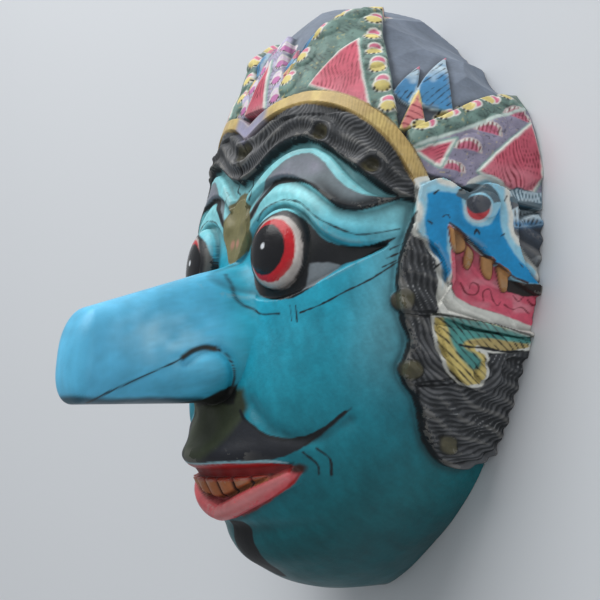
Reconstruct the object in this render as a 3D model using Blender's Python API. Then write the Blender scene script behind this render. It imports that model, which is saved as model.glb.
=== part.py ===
"""Carved wooden topeng mask with a long drooping nose.

Blender 4.5, metres, +Z up. The mask lies on its back: its flat rim is on Z = 0, the face looks up
along +Z, the crown points along +Y and the chin along -Y. The origin is at the middle of the rim.

It is carved from one block, so it is one solid, hollow at the back. The outside is one sheet of
points. First they lie on a smooth head: RIM is its outline on the rim plane, MIDLINE is its
profile from chin to crown, and a rounded section joins the two. The carving then raises or sinks
the points, and the long nose draws some of them out. The carving is drawn on squares, flat on
that head: s runs sideways from the midline, t runs along it from the bridge of the nose up to
the crown. One square is one millimetre at the usual height.
"""

import bmesh
import bpy
import numpy as np

# Driving dimensions, in metres
MASK_HEIGHT = 0.221       # chin to skull, along Y
MASK_WIDTH = 0.1396        # side to side of the smooth head, along X; the ear ornaments stand out past it
FACE_DEPTH = 0.076         # rim plane up to the bridge of the nose
NOSE_LENGTH = 0.062        # how far the nose stands out past the bridge
WALL = 0.009               # wood left between the smooth head and the hollow
RELIEF = 1.0               # height of the carving, as a share of the usual height

# What one square of the drawing measures along each axis
SQUARES_HIGH = 221.0
SQUARES_WIDE = 139.6
SQUARES_DEEP = 76.0
UNIT = np.array([MASK_WIDTH / SQUARES_WIDE, MASK_HEIGHT / SQUARES_HIGH, FACE_DEPTH / SQUARES_DEEP])

# The smooth head, in squares: rim outline (x, y) and midline profile (y, z), chin to crown
RIM = [(0, -108), (13, -102.5), (26, -92.5), (38.5, -81), (50, -65.5), (58, -46), (64, -27), (68, -8),
       (69.8, 10), (69.3, 27), (67, 44), (62.5, 57), (55, 68.5), (44.5, 78.5), (32.5, 88.5), (17, 102), (0, 111)]
MIDLINE = [(-108, 0), (-109.3, 14), (-110, 28), (-108, 41.5), (-102.5, 52), (-95, 60), (-86, 66.5), (-75, 72),
           (-60, 75.5), (-42, 77), (-21, 76.5), (0, 76), (20, 75.5), (40, 74), (57, 71), (72, 68), (86, 64),
           (97, 57), (105, 46), (110, 31), (111, 15), (111, 0)]
SECTION_POWER = 2.25       # 2 is an ellipse, more is squarer
BACK_SHARE = 0.15          # how far the sheet closes below the rim plane, before that is cut off
FRONT_TURN = 0.53          # turn that the carved front reaches, in half circles: a little past the rim
TURN_FADE = 0.07           # and over this much more turn the carving fades out
END_FADE = 0.02            # it also fades out over this share of the midline at chin and crown


def smooth_curve(points, pieces=16, mirror=(-1, -1)):
    """Catmull-Rom curve through the points.

    Before its first and after its last point it goes on as its own reflection: through the end
    point, or in the line x = 0 with mirror (-1, 1), or in y = 0 with (1, -1), which rounds the end.
    """
    p = np.array(points, float)
    flip = np.array(mirror)
    ends = np.vstack([p[0] + (p[1] - p[0]) * flip, p, p[-1] + (p[-2] - p[-1]) * flip])
    u = np.linspace(0, 1, pieces, endpoint=False)[:, None]
    spans = []
    for a, b, c, d in zip(ends, ends[1:], ends[2:], ends[3:]):
        spans.append(0.5 * (2 * b + (c - a) * u + (2 * a - 5 * b + 4 * c - d) * u ** 2
                            + (3 * b - a - 3 * c + d) * u ** 3))
    return np.vstack(spans + [p[-1:]])


def at_share(curve, share):
    """Points of a curve at given shares of its length."""
    steps = np.linalg.norm(np.diff(curve, axis=0), axis=1)
    travelled = np.concatenate([[0.0], np.cumsum(steps)])
    travelled /= travelled[-1]
    return np.stack([np.interp(share, travelled, curve[:, k]) for k in range(2)], axis=-1)


def inset(curve, distance):
    """The same curve moved sideways, to the left of its direction."""
    along = np.gradient(curve, axis=0)
    along /= np.linalg.norm(along, axis=1)[:, None]
    return curve + distance * np.stack([-along[:, 1], along[:, 0]], axis=1)


def smooth_step(low, high, value):
    """0 below low, 1 above high, and an S-curve between."""
    u = np.clip((value - low) / (high - low), 0.0, 1.0)
    return u * u * (3 - 2 * u)


def head(rim, midline, share, turn, back=BACK_SHARE):
    """Smooth head: share runs from chin to crown, turn is the angle away from the midline."""
    edge = at_share(rim, share)
    middle = at_share(midline, share)
    width = np.maximum(edge[..., 0], 1e-9)
    depth = np.maximum(middle[..., 1], 1e-9)
    reach = ((np.abs(np.sin(turn)) / width) ** SECTION_POWER
             + (np.abs(np.cos(turn)) / depth) ** SECTION_POWER) ** (-1 / SECTION_POWER)
    x = reach * np.sin(turn)
    z = reach * np.cos(turn)
    y = edge[..., 1] + (middle[..., 0] - edge[..., 1]) * np.clip(z / depth, 0, 1)
    return np.stack([x, y, np.where(z < 0, z * back, z)], axis=-1)


def rim_curve():
    """Outline of the smooth head on the rim plane, rounded over the midline."""
    return smooth_curve(RIM, mirror=(-1, 1))


def midline_curve():
    """Profile of the smooth head, standing square on the rim plane."""
    return smooth_curve(MIDLINE, mirror=(1, -1))


# Distances on the drawing, and how wide the two kinds of cut edge are
CRISP = 1.2
SOFT = 2.0


def to_outline(s, t, points):
    """Distance to a closed outline, negative inside it."""
    points = np.array(points, float)
    nearest = np.full(s.shape, np.inf)
    inside = np.zeros(s.shape, bool)
    for (ax, ay), (bx, by) in zip(points, np.roll(points, -1, axis=0)):
        length = max((bx - ax) ** 2 + (by - ay) ** 2, 1e-12)
        u = np.clip(((s - ax) * (bx - ax) + (t - ay) * (by - ay)) / length, 0, 1)
        nearest = np.minimum(nearest, np.hypot(s - ax - u * (bx - ax), t - ay - u * (by - ay)))
        if ay != by:
            crosses = (ay > t) != (by > t)
            inside ^= crosses & (s < ax + (t - ay) * (bx - ax) / (by - ay))
    return np.where(inside, -nearest, nearest)


def to_line(s, t, points):
    """Distance to an open line."""
    points = np.array(points, float)
    nearest = np.full(s.shape, np.inf)
    for (ax, ay), (bx, by) in zip(points[:-1], points[1:]):
        length = (bx - ax) ** 2 + (by - ay) ** 2
        u = np.clip(((s - ax) * (bx - ax) + (t - ay) * (by - ay)) / length, 0, 1)
        nearest = np.minimum(nearest, np.hypot(s - ax - u * (bx - ax), t - ay - u * (by - ay)))
    return nearest


def hill(s, t, centre, size):
    """Round swelling of height 1 that fades over its size."""
    return np.exp(-((s - centre[0]) / size[0]) ** 2 - ((t - centre[1]) / size[1]) ** 2)


def raised(distance, edge=CRISP):
    """1 inside an outline and 0 outside, over a steep edge."""
    return smooth_step(edge / 2, -edge / 2, distance)


def dome(s, t, centre, radii):
    """Part of a ball, 1 at its top and 0 at its edge."""
    share = np.hypot((s - centre[0]) / radii[0], (t - centre[1]) / radii[1])
    return np.sqrt(np.clip(1 - share ** 2, 0, 1))


# Outlines of the carving, in squares, on the mask's left half. The right half mirrors it
EYE = (25, 2.5)
EYE_RADII = (11.8, 14.2)
EYE_OPENING = [(3, -1), (9, -9), (18, -14), (29, -14.5), (40, -10), (50, -4), (62, 3.5), (50, 3),
               (41, 7), (34, 14), (25, 18), (15, 16), (7, 8)]
LID = [(5, 14), (14, 21), (25, 23), (37, 17), (46, 9), (64, 8)]
BROW_LOW = [(5, 20), (14, 26.5), (25, 28), (35, 23), (44, 16.5), (54, 15), (66, 20.5)]
BROW_HIGH = [(66, 20.5), (56, 20.5), (47, 27), (38, 36), (27, 38.5), (16, 34), (5, 24)]
HAIR_LOW = [(0, 29.5), (8, 32.5), (18, 38.5), (28, 41.5), (37, 38.5), (45, 33), (53, 27), (62, 21.5), (71, 19)]
GOLD = [(0, 48), (8, 53), (17, 56), (27, 57.2), (37, 55.5), (46, 51.8), (54.5, 46.5), (62, 39.5),
        (68.5, 30), (72, 24)]
GOLD_WIDTH = 5.5
CURL_EYES = [(2, 40.5), (35, 43), (54, 30.5)]
CURL_RADIUS = 4.2
CHEEK_FOLD = [(19, -50), (28, -60), (40, -63), (52, -57)]

# Crown leaves, each an outline of a slab. A field is the raised middle of its leaf
CENTRE_LEAF = [(-17, 56), (17, 56), (7, 77), (0, 92), (-7, 77)]
CENTRE_FIELD = [(-8, 52), (8, 52), (0, 79)]
SIDE_LEAF = [(11, 60), (40, 53), (62, 42), (57, 55), (52, 68), (45.5, 83), (37, 97), (23, 117), (24, 100),
             (20, 87), (14.5, 75)]
SIDE_FIELD = [(25, 62), (50, 52), (35.5, 84)]
INNER_WEDGE = [(3, 58), (14, 64), (12.5, 76)]
INNER_PLUMES = [[(5, 70), (15, 68), (11, 82)], [(12, 76), (22, 80), (17.5, 94)]]
OUTER_WEDGE = [(60, 44), (69, 48), (62.5, 64)]
OUTER_PLUMES = [[(54, 60), (64, 54), (59.5, 78)], [(61, 57), (77, 55), (65.5, 90)]]
EAR_LEAF = [(68, 30), (63, 45), (74, 54), (82, 63.5), (92, 74), (102, 83), (125, 70), (125, 22), (100, 22)]
EAR_FIELD = [(88.5, 33), (106, 61), (116, 38), (105, 29)]
# Rows of flowers on the leaves: first and last centre of each row, and how many
FLOWER_ROWS = [((55, 54), (30, 103), 6), ((15, 65), (27, 97), 4), ((78, 32), (99, 67), 4), ((69, 43), (94, 69), 4)]

# Ear ornament: a bird's head with open beak over a curled leaf
BIRD = [(70, 24), (77, 28), (86, 24), (92, 29), (101, 27), (105, 20), (106, 8), (112, -3), (121, -10),
        (121, -27), (80, -22), (82, -10), (77, 2), (70, 8)]
BIRD_MOUTH = [(82, 9), (90, 5), (100, -3), (111, -9), (121, -13), (121, -25), (82, -19), (84, -8)]
BIRD_EYE = (92, 20)
SCROLL = [(79, -24), (121, -29), (121, -36), (108, -35), (104, -38), (104, -45), (97, -49), (89, -45), (83, -36)]
SCROLL_EYE = (97, -41)
SIDE_HAIR = [(70, 14), (67, 2), (66, -10), (68, -22), (71, -30), (69, -42), (74, -52), (76, -66), (81, -76),
             (90, -80), (104, -76), (125, -66), (125, 20), (96, 12)]
SIDE_CURL_EYES = [(68, -16), (71.5, -40), (83, -68)]

SIDE_KNOB_RADII = (4.0, 4.0)
BIRD_EYE_RADII = (5.0, 5.0)

# Mouth: the opening with the teeth, and the line along the top of the lower lip
MOUTH = [(-32, -70.5), (0, -70.5), (32, -70.5), (30, -73.5), (23, -75.6), (15.5, -78), (8, -80.5), (0, -82.5),
         (-8, -80.5), (-15.5, -78), (-23, -75.6), (-30, -73.5)]
TOOTH_PITCH = 6.8
TOOTH_TOP = -74
TOOTH_ENDS = (-82, -79)
TOOTH_MARGIN = 1.5         # the teeth start this far inside the edge of the mouth
TOOTH_ROUNDNESS = 0.5
LOWER_LIP = [(0, -85.6), (4, -84.8), (8, -83.4), (15, -80.8), (23, -77.8), (31, -75)]
LIP_HALF_WIDTH = 3.3
LIP_REACH = 22             # how far its height carries towards the corners

# Swellings and hollows, each with its centre and how far it spreads
MUZZLE = ((0, -62), (24, 24))
UPPER_LIP = ((0, -66.5), (22, 4.2))
PHILTRUM = ((0, -56.5), (8, 5))
NOSTRIL = ((13, -53), (7, 4.5))
CHIN = ((0, -103), (16, 9))
CHIN_GROOVE = ((0, -93.5), (26, 3))
CHEEK = ((42, -36), (22, 22))
EYE_MOUND = ((31, 4), (24, 22))
BROW_MARK = ((0, 12), (7.5, 12))

# Heights over the smooth head, in squares
MUZZLE_HEIGHT = 8.0
UPPER_LIP_HEIGHT = 4.8
LOWER_LIP_HEIGHT = 5.6
PHILTRUM_DEPTH = 2.4
NOSTRIL_DEPTH = 2.0
MOUTH_DEPTH = 1.2
TOOTH_HEIGHT = 2.6
CHIN_HEIGHT = 2.8
CHIN_GROOVE_DEPTH = 1.6
CHEEK_HEIGHT = 3.0
FOLD_DEPTH = 1.2
FOLD_HALF_WIDTH = 2.4
EYE_MOUND_HEIGHT = 5.5
EYE_OPENING_DEPTH = 2.4
EYE_BULGE = 8.6
LID_HEIGHT = 1.0
LID_HALF_WIDTH = 2.6
BROW_HEIGHT = 2.2
BROW_MARK_HEIGHT = 1.0
FACET_HEIGHT = 1.2
SKULL_SINK = 3.2           # the skull lies this much behind the smooth head
SKULL_START = (66, 84)
FACET_RATES = (0.085, 0.075)  # of the flats along s and t, in radians to the square
FACET_SHIFT = 0.6
FACET_SWAY = 0.25
FACET_SWAY_RATE = 0.05
PLUME_HEIGHT = 2.2
LEAF_HEIGHT = 3.5
FIELD_HEIGHT = 0.9
FLOWER_HEIGHT = 1.1
FLOWER_RADII = (4.2, 4.2)
HAIR_HEIGHT = 3.6
LOCK_PITCH = 6.5           # from one lock of hair to the next
LOCK_DEPTH = 0.7
LOCK_SWAY = 1.2            # how far the locks sway from side to side, as an angle in radians
LOCK_SWAY_RATE = 0.2       # and how fast, in radians to the square
SIDE_SWAY_RATE = 0.25
SIDE_LOCK_STEP = (0.55, 0.83)  # direction from one side lock to the next
CURL_RING = (1.0, 1.6)     # height and width of the ring of a curl
CURL_PIT = (1.4, 2.0)      # depth and width of the hole in its middle
BAND_LAP = 0.6             # how far the foot of the gold band laps over the hair
GOLD_HEIGHT = 4.6
BIRD_HEIGHT = 6.2
SCROLL_HEIGHT = 5.6
BEAK_DEPTH = 2.2
KNOB_HEIGHT = 1.6
SCROLL_GROOVE_DEPTH = 1.4
SCROLL_GROOVE_RING = (3.4, 1.1)  # radius and half width of the groove round the curl's eye
SCROLL_GROOVE_TOP = -36


def mouth_relief(s, t):
    """Muzzle, moustache edge, lips, the row of teeth in the open mouth, and the ball of the chin."""
    height = MUZZLE_HEIGHT * hill(s, t, *MUZZLE) + UPPER_LIP_HEIGHT * hill(s, t, *UPPER_LIP)
    height -= PHILTRUM_DEPTH * hill(s, t, *PHILTRUM) + NOSTRIL_DEPTH * hill(s, t, *NOSTRIL)
    across_lip = np.clip(1 - (to_line(s, t, LOWER_LIP) / LIP_HALF_WIDTH) ** 2, 0, 1)
    height += LOWER_LIP_HEIGHT * np.sqrt(across_lip) * np.exp(-(s / LIP_REACH) ** 2)
    gap = to_outline(s, t, MOUTH)
    height -= MOUTH_DEPTH * raised(gap, SOFT)
    teeth = np.abs(np.cos(np.pi * s / TOOTH_PITCH)) ** TOOTH_ROUNDNESS
    height += TOOTH_HEIGHT * raised(gap + TOOTH_MARGIN, SOFT) * teeth * smooth_step(*TOOTH_ENDS, t) * (t < TOOTH_TOP)
    return height + CHIN_HEIGHT * hill(s, t, *CHIN) - CHIN_GROOVE_DEPTH * hill(s, t, *CHIN_GROOVE)


def eye_relief(s, t):
    """Eyeball in a sunk opening, lid folds over it, brow ridge and the mark between the brows."""
    opening = to_outline(s, t, smooth_curve(EYE_OPENING + EYE_OPENING[:1], 4))
    height = EYE_MOUND_HEIGHT * hill(s, t, *EYE_MOUND) - EYE_OPENING_DEPTH * raised(opening, SOFT)
    ball = dome(s, t, EYE, EYE_RADII)
    round_eye = EYE_OPENING_DEPTH + (EYE_BULGE - EYE_OPENING_DEPTH) * ball
    height = np.where(ball > 0, np.maximum(height, round_eye), height)
    lid = to_line(s, t, smooth_curve(LID, 4))
    height += LID_HEIGHT * np.exp(-(lid / LID_HALF_WIDTH) ** 2) * (ball == 0)
    brow = to_outline(s, t, np.vstack([smooth_curve(BROW_LOW, 4), smooth_curve(BROW_HIGH, 4)]))
    height += BROW_HEIGHT * raised(brow, SOFT)
    return height + BROW_MARK_HEIGHT * raised(dome(s, t, *BROW_MARK) == 0)


def cheek_relief(s, t):
    """Full cheeks and the fold beside the nose."""
    fold = to_line(s, t, smooth_curve(CHEEK_FOLD, 4))
    return CHEEK_HEIGHT * hill(s, t, *CHEEK) - FOLD_DEPTH * np.exp(-(fold / FOLD_HALF_WIDTH) ** 2)


def hair_relief(s, t):
    """Fringe of waved locks under the gold band, the band itself and the locks in front of the ear."""
    gold_line = smooth_curve(GOLD, 5)
    hair_line = smooth_curve(HAIR_LOW, 4)
    fringe = to_outline(s, t, np.vstack([hair_line, gold_line[::-1]]))
    across = to_line(s, t, hair_line)
    locks = LOCK_DEPTH * np.cos(2 * np.pi * across / LOCK_PITCH + LOCK_SWAY * np.sin(LOCK_SWAY_RATE * s))
    height = (HAIR_HEIGHT + locks) * raised(fringe, SOFT)
    for centre in CURL_EYES:
        ring = np.hypot(s - centre[0], t - centre[1])
        height += CURL_RING[0] * np.exp(-((ring - CURL_RADIUS) / CURL_RING[1]) ** 2)
        height -= CURL_PIT[0] * np.exp(-(ring / CURL_PIT[1]) ** 2)
    band = to_line(s, t, gold_line) - GOLD_WIDTH / 2
    height = np.where(band < BAND_LAP, np.maximum(height, GOLD_HEIGHT * raised(band)), height)
    side = to_outline(s, t, smooth_curve(SIDE_HAIR + SIDE_HAIR[:1], 4))
    down = SIDE_LOCK_STEP[0] * s + SIDE_LOCK_STEP[1] * t
    sideways = SIDE_LOCK_STEP[1] * s - SIDE_LOCK_STEP[0] * t
    strands = LOCK_DEPTH * np.sin(2 * np.pi * down / LOCK_PITCH + LOCK_SWAY * np.sin(SIDE_SWAY_RATE * sideways))
    height = np.maximum(height, (HAIR_HEIGHT + strands) * raised(side, SOFT))
    for centre in SIDE_CURL_EYES:
        height += KNOB_HEIGHT * dome(s, t, centre, SIDE_KNOB_RADII)
    return height


def flower_row(s, t, first, last, count):
    """Folded flowers in a row, as flat domes."""
    height = np.zeros(s.shape)
    for u in np.linspace(0, 1, count):
        centre = (first[0] + (last[0] - first[0]) * u, first[1] + (last[1] - first[1]) * u)
        height = np.maximum(height, FLOWER_HEIGHT * dome(s, t, centre, FLOWER_RADII))
    return height


def crown_relief(s, t):
    """Pointed crown leaves in slabs of several heights in front of the plain skull."""
    ground = smooth_curve(GOLD, 5)
    above = t > np.interp(s, ground[:, 0], ground[:, 1])
    height = np.zeros(s.shape)
    for plume in INNER_PLUMES + OUTER_PLUMES:
        height = np.maximum(height, PLUME_HEIGHT * raised(to_outline(s, t, plume)))
    for wedge in (INNER_WEDGE, OUTER_WEDGE):
        height = np.maximum(height, (PLUME_HEIGHT + FIELD_HEIGHT) * raised(to_outline(s, t, wedge)))
    for leaf, field in ((CENTRE_LEAF, CENTRE_FIELD), (SIDE_LEAF, SIDE_FIELD), (EAR_LEAF, EAR_FIELD)):
        inside = raised(to_outline(s, t, leaf))
        slab = LEAF_HEIGHT * inside + FIELD_HEIGHT * raised(to_outline(s, t, field)) * inside
        height = np.maximum(height, slab)
    for first, last, count in FLOWER_ROWS:
        height = height + flower_row(s, t, first, last, count)
    return height * above


def ear_relief(s, t):
    """Bird's head with eye, beak and open mouth, and the curled leaf below it."""
    bird = to_outline(s, t, smooth_curve(BIRD + BIRD[:1], 3))
    mouth = to_outline(s, t, smooth_curve(BIRD_MOUTH + BIRD_MOUTH[:1], 3))
    height = BIRD_HEIGHT * raised(bird) - BEAK_DEPTH * raised(mouth)
    height += KNOB_HEIGHT * dome(s, t, BIRD_EYE, BIRD_EYE_RADII) * raised(bird)
    scroll = to_outline(s, t, smooth_curve(SCROLL + SCROLL[:1], 3))
    height = np.maximum(height, SCROLL_HEIGHT * raised(scroll))
    ring = np.hypot(s - SCROLL_EYE[0], t - SCROLL_EYE[1])
    groove = np.exp(-((ring - SCROLL_GROOVE_RING[0]) / SCROLL_GROOVE_RING[1]) ** 2) * (t < SCROLL_GROOVE_TOP)
    return height - SCROLL_GROOVE_DEPTH * groove


def skull_facets(s, t):
    """Broad flats left by the adze on the skull behind the crown."""
    flat = np.abs(np.sin(FACET_RATES[0] * s + FACET_SHIFT))
    flat = flat + np.abs(np.sin(FACET_RATES[1] * t + FACET_SWAY * np.sin(FACET_SWAY_RATE * s)))
    return (FACET_HEIGHT * flat - SKULL_SINK) * smooth_step(*SKULL_START, t)


def carving(s, t):
    """Height of the relief over the smooth head, in squares. s is signed, the carving is symmetric."""
    s = np.abs(s)
    height = mouth_relief(s, t) + eye_relief(s, t) + cheek_relief(s, t) + skull_facets(s, t)
    covered = np.maximum(np.maximum(hair_relief(s, t), crown_relief(s, t)), ear_relief(s, t))
    return RELIEF * (height + covered)


# Nose, in squares: heights z above the rim plane and the y of its top and underside there
NOSE_FOOT = (0.0, -25.0)
NOSE_SPREAD = (18.0, 26.0)
NOSE_ROOT_Z = 78.0
NOSE_TIP_ROUND = 6.5
NOSE_ROOT_YS = (0.0, -49.5)
NOSE_TIP_YS = (-27.5, -57.5)
NOSE_ROOT_HALF_WIDTH = 14.0
NOSE_TIP_HALF_WIDTH = 11.0
NOSE_FILLET = 6.0          # how much the root spreads onto the cheek, and how fast that ends
NOSE_FILLET_RISE = 3.5
NOSE_SHANK = 0.8           # share of the radius that the straight part takes, the rest is the tip
NOSE_POWER = 3.0           # of its section: 2 is an ellipse, more is squarer
NOSE_RIDGE = 0.28          # how much narrower the ridge is than the underside, at the root
NOSE_TAPER = 0.7           # power of the taper in width: below 1 it narrows more near the root
FILLET_TURN = (-0.6, 0.2)  # sine of the angle round the nose from which the root spreads, and is full
RIDGE_TURN = (-0.2, 1.0)   # the same for the narrower ridge
NOSE_BLEND = (1.2, 0.8)    # shares of the foot's radius where the pull starts, and is full
# Wing of the nose, seen from the side: a lobe, and the groove around it, as (y, z)
WING = ((-42, 87), (7, 9))
WING_HEIGHT = 3.2
WING_GROOVE = [(-39, 99), (-35.5, 95), (-33.5, 91), (-33.5, 87), (-36, 83.5), (-40, 81.5), (-45, 80.5)]
WING_GROOVE_DEPTH = 1.8
WING_GROOVE_HALF_WIDTH = 1.8
WING_BLEND = (0.2, 0.6)    # the wing starts and is full at these shares of the pull
WING_INSET = (2, 9)        # and at these distances from the midline


def nose(points, s, t):
    """Draws the points inside the nose's foot out into a drooping, rounded, tapering nose."""
    across = (s - NOSE_FOOT[0]) / NOSE_SPREAD[0]
    up = (t - NOSE_FOOT[1]) / NOSE_SPREAD[1]
    radius = np.hypot(across, up)
    angle = np.arctan2(up, across)
    inner = np.clip(1 - radius, 0, 1)
    shank = np.clip(inner / NOSE_SHANK, 0, 1)
    cap = np.clip((inner - NOSE_SHANK) / (1 - NOSE_SHANK), 0, 1) * np.pi / 2
    tip_z = SQUARES_DEEP + NOSE_LENGTH / UNIT[2]
    z = NOSE_ROOT_Z + (tip_z - NOSE_TIP_ROUND - NOSE_ROOT_Z) * shank + NOSE_TIP_ROUND * np.sin(cap)
    along = (z - NOSE_ROOT_Z) / (tip_z - NOSE_ROOT_Z)
    top = NOSE_ROOT_YS[0] + (NOSE_TIP_YS[0] - NOSE_ROOT_YS[0]) * along
    under = NOSE_ROOT_YS[1] + (NOSE_TIP_YS[1] - NOSE_ROOT_YS[1]) * along
    half_width = NOSE_ROOT_HALF_WIDTH + (NOSE_TIP_HALF_WIDTH - NOSE_ROOT_HALF_WIDTH) * along ** NOSE_TAPER
    squareness = (np.abs(np.cos(angle)) ** NOSE_POWER + np.abs(np.sin(angle)) ** NOSE_POWER) ** (-1 / NOSE_POWER)
    fillet = NOSE_FILLET * np.exp((NOSE_ROOT_Z - z) / NOSE_FILLET_RISE) * smooth_step(*FILLET_TURN, np.sin(angle))
    half_width = half_width + fillet
    narrow = 1 - NOSE_RIDGE * smooth_step(*RIDGE_TURN, np.sin(angle)) * (1 - along)
    x = half_width * np.cos(angle) * squareness * np.cos(cap) * narrow
    y = (top + under) / 2 + (top - under) / 2 * np.sin(angle) * squareness * np.cos(cap)
    drawn = np.stack([x, y, z], axis=-1)
    blend = smooth_step(*NOSE_BLEND, radius)
    result = points + (drawn - points) * blend[..., None]
    y, z = result[..., 1], result[..., 2]
    groove = np.exp(-(to_line(y, z, smooth_curve(WING_GROOVE, 4)) / WING_GROOVE_HALF_WIDTH) ** 2)
    side = WING_HEIGHT * hill(y, z, *WING) - WING_GROOVE_DEPTH * groove
    side = side * smooth_step(*WING_BLEND, blend) * smooth_step(*WING_INSET, np.abs(result[..., 0]))
    result[..., 0] += np.sign(s) * side
    return result


def outward(points):
    """Unit normals of a sheet of points whose rows run chin to crown."""
    rows = np.gradient(points, axis=0)
    columns = np.gradient(points, axis=1)
    normals = np.cross(columns, rows)
    normals[0] = normals[1]
    normals[-1] = normals[-2]
    return normals / np.maximum(np.linalg.norm(normals, axis=-1, keepdims=True), 1e-9)


def drawing(share, turn):
    """Smooth head in squares, with the s and t of each of its points."""
    midline = midline_curve()
    points = head(rim_curve(), midline, share, turn)
    steps = np.linalg.norm(np.diff(points, axis=1), axis=2)
    s = np.concatenate([np.zeros((len(steps), 1)), np.cumsum(steps, axis=1)], axis=1)
    middle = np.argmin(np.abs(turn[0]))
    s -= s[:, middle:middle + 1]
    lengths = np.concatenate([[0], np.cumsum(np.linalg.norm(np.diff(midline, axis=0), axis=1))])
    front = midline[:, 1] > SQUARES_DEEP / 2
    bridge = np.interp(0.0, midline[front, 0], lengths[front])
    return points, s, share * lengths[-1] - bridge


def carved_sheet(share, turn):
    """Outside of the mask in metres, for a table of shares and turns."""
    points, s, t = drawing(share, turn)
    fade = smooth_step(0, END_FADE, share) * smooth_step(1, 1 - END_FADE, share)
    fade = fade * smooth_step(FRONT_TURN + TURN_FADE, FRONT_TURN, np.abs(turn) / np.pi)
    raised_points = points + outward(points) * (carving(s, t) * fade)[..., None]
    return nose(raised_points, s, t) * UNIT


# Building

FRONT_PART = 0.9           # share of the grid's width that covers the front, the rest closes the back
ROW_COUNT = 330                 # of the carved sheet, before it is thinned
COLUMN_COUNT = 400
KEPT_FACES = 0.029         # share of the carved sheet's triangles that is kept
HOLLOW_ROW_COUNT = 24
HOLLOW_COLUMN_COUNT = 36
HOLLOW_BACK_SHARE = 0.5    # how far the hollow closes below the rim plane
CUT_DEPTH = 0.03           # how far the cutter of the rim plane reaches down
WELD = 2e-7                # points of the grid closer than this are one
SLIVER = 5e-5              # and points closer than this are one after the cuts


def mapped_grid(name, rows, columns, shape):
    """Grid primitive rolled up into a closed skin: its y is the share, its x is the turn."""
    mesh = bpy.data.meshes.new(name)
    bm = bmesh.new()
    bmesh.ops.create_grid(bm, x_segments=columns, y_segments=rows, size=1.0)
    bm.to_mesh(mesh)
    flat = np.empty(len(mesh.vertices) * 3)
    mesh.vertices.foreach_get("co", flat)
    flat = flat.reshape(-1, 3).round(6)
    order = np.lexsort((flat[:, 0], flat[:, 1]))
    table = flat[order].reshape(rows + 1, columns + 1, 3)
    across = np.abs(table[..., 0])
    past = (across - FRONT_PART) / (1 - FRONT_PART)
    turn = np.where(past < 0, across / FRONT_PART * FRONT_TURN, FRONT_TURN + past * (1 - FRONT_TURN))
    placed = np.empty_like(flat)
    placed[order] = shape((table[..., 1] + 1) / 2, np.sign(table[..., 0]) * turn * np.pi).reshape(-1, 3)
    mesh.vertices.foreach_set("co", placed.ravel())
    bm.clear()
    bm.from_mesh(mesh)
    bmesh.ops.remove_doubles(bm, verts=bm.verts, dist=WELD)
    bmesh.ops.recalc_face_normals(bm, faces=bm.faces)
    bm.to_mesh(mesh)
    bm.free()
    return bpy.data.objects.new(name, mesh)


def hollow_sheet(share, turn):
    """Inside of the mask in metres: the smooth head, one wall thickness further in."""
    rim = inset(rim_curve() * UNIT[:2], WALL)
    midline = inset(midline_curve() * UNIT[1:], -WALL)
    rim[[0, -1], 0] = 0
    midline[[0, -1], 1] = 0
    return head(rim, midline, share, turn, back=HOLLOW_BACK_SHARE)


def cutter(name, collection):
    """Settings of an object that only cuts."""
    tool = bpy.data.objects[name]
    collection.objects.link(tool)
    tool.hide_render = True
    tool.display_type = 'WIRE'
    return tool


def carved_wood():
    """Material of the bare carving."""
    material = bpy.data.materials.new("painted_wood")
    material.use_nodes = True
    shader = material.node_tree.nodes["Principled BSDF"]
    shader.inputs["Base Color"].default_value = (0.06, 0.24, 0.32, 1)
    shader.inputs["Roughness"].default_value = 0.45
    return material


def main():
    for old in list(bpy.data.objects):
        bpy.data.objects.remove(old)
    parts = bpy.data.collections.new("topeng_mask")
    cutters = bpy.data.collections.new("cutters")
    bpy.context.scene.collection.children.link(parts)
    bpy.context.scene.collection.children.link(cutters)

    mask = mapped_grid("mask", ROW_COUNT, COLUMN_COUNT, carved_sheet)
    mask.data.materials.append(carved_wood())
    parts.objects.link(mask)

    mapped_grid("hollow", HOLLOW_ROW_COUNT, HOLLOW_COLUMN_COUNT, hollow_sheet)
    hollow = cutter("hollow", cutters)
    mesh = bpy.data.meshes.new("below_rim")
    bm = bmesh.new()
    bmesh.ops.create_cube(bm, size=1.0)
    bmesh.ops.scale(bm, vec=(2 * MASK_WIDTH, 2 * MASK_HEIGHT, CUT_DEPTH), verts=bm.verts)
    bmesh.ops.translate(bm, vec=(0, 0, -CUT_DEPTH / 2), verts=bm.verts)
    bm.to_mesh(mesh)
    bm.free()
    bpy.data.objects.new("below_rim", mesh)
    below = cutter("below_rim", cutters)

    thin = mask.modifiers.new("fewer faces", 'DECIMATE')
    thin.ratio = KEPT_FACES
    # The skin meets the rim plane at a flat angle near the crown. There EXACT breaks down when the
    # mask is made a tenth lower, and MANIFOLD doesn't.
    for tool in (below, hollow):
        cut = mask.modifiers.new("cut by " + tool.name, 'BOOLEAN')
        cut.operation = 'DIFFERENCE'
        cut.solver = 'MANIFOLD'
        cut.object = tool
    clean = mask.modifiers.new("close slivers", 'WELD')
    clean.merge_threshold = SLIVER


main()
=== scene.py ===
# %% [markdown]
# # A carved and painted topeng mask
# The real mask is one block of light wood: carved with gouges and knives, primed, painted by
# hand in many thin coats, and hollow at the back. Here its whole front is one surface, worked
# out as a formula on a grid of numbers. First comes a smooth head, then the carving raises or
# sinks it, then the nose draws part of it out. The paint is laid on in areas: each area is the
# distance to an outline, kept on the surface, so that its edge stays sharp from close by.

# %% The frame
import math

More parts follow.
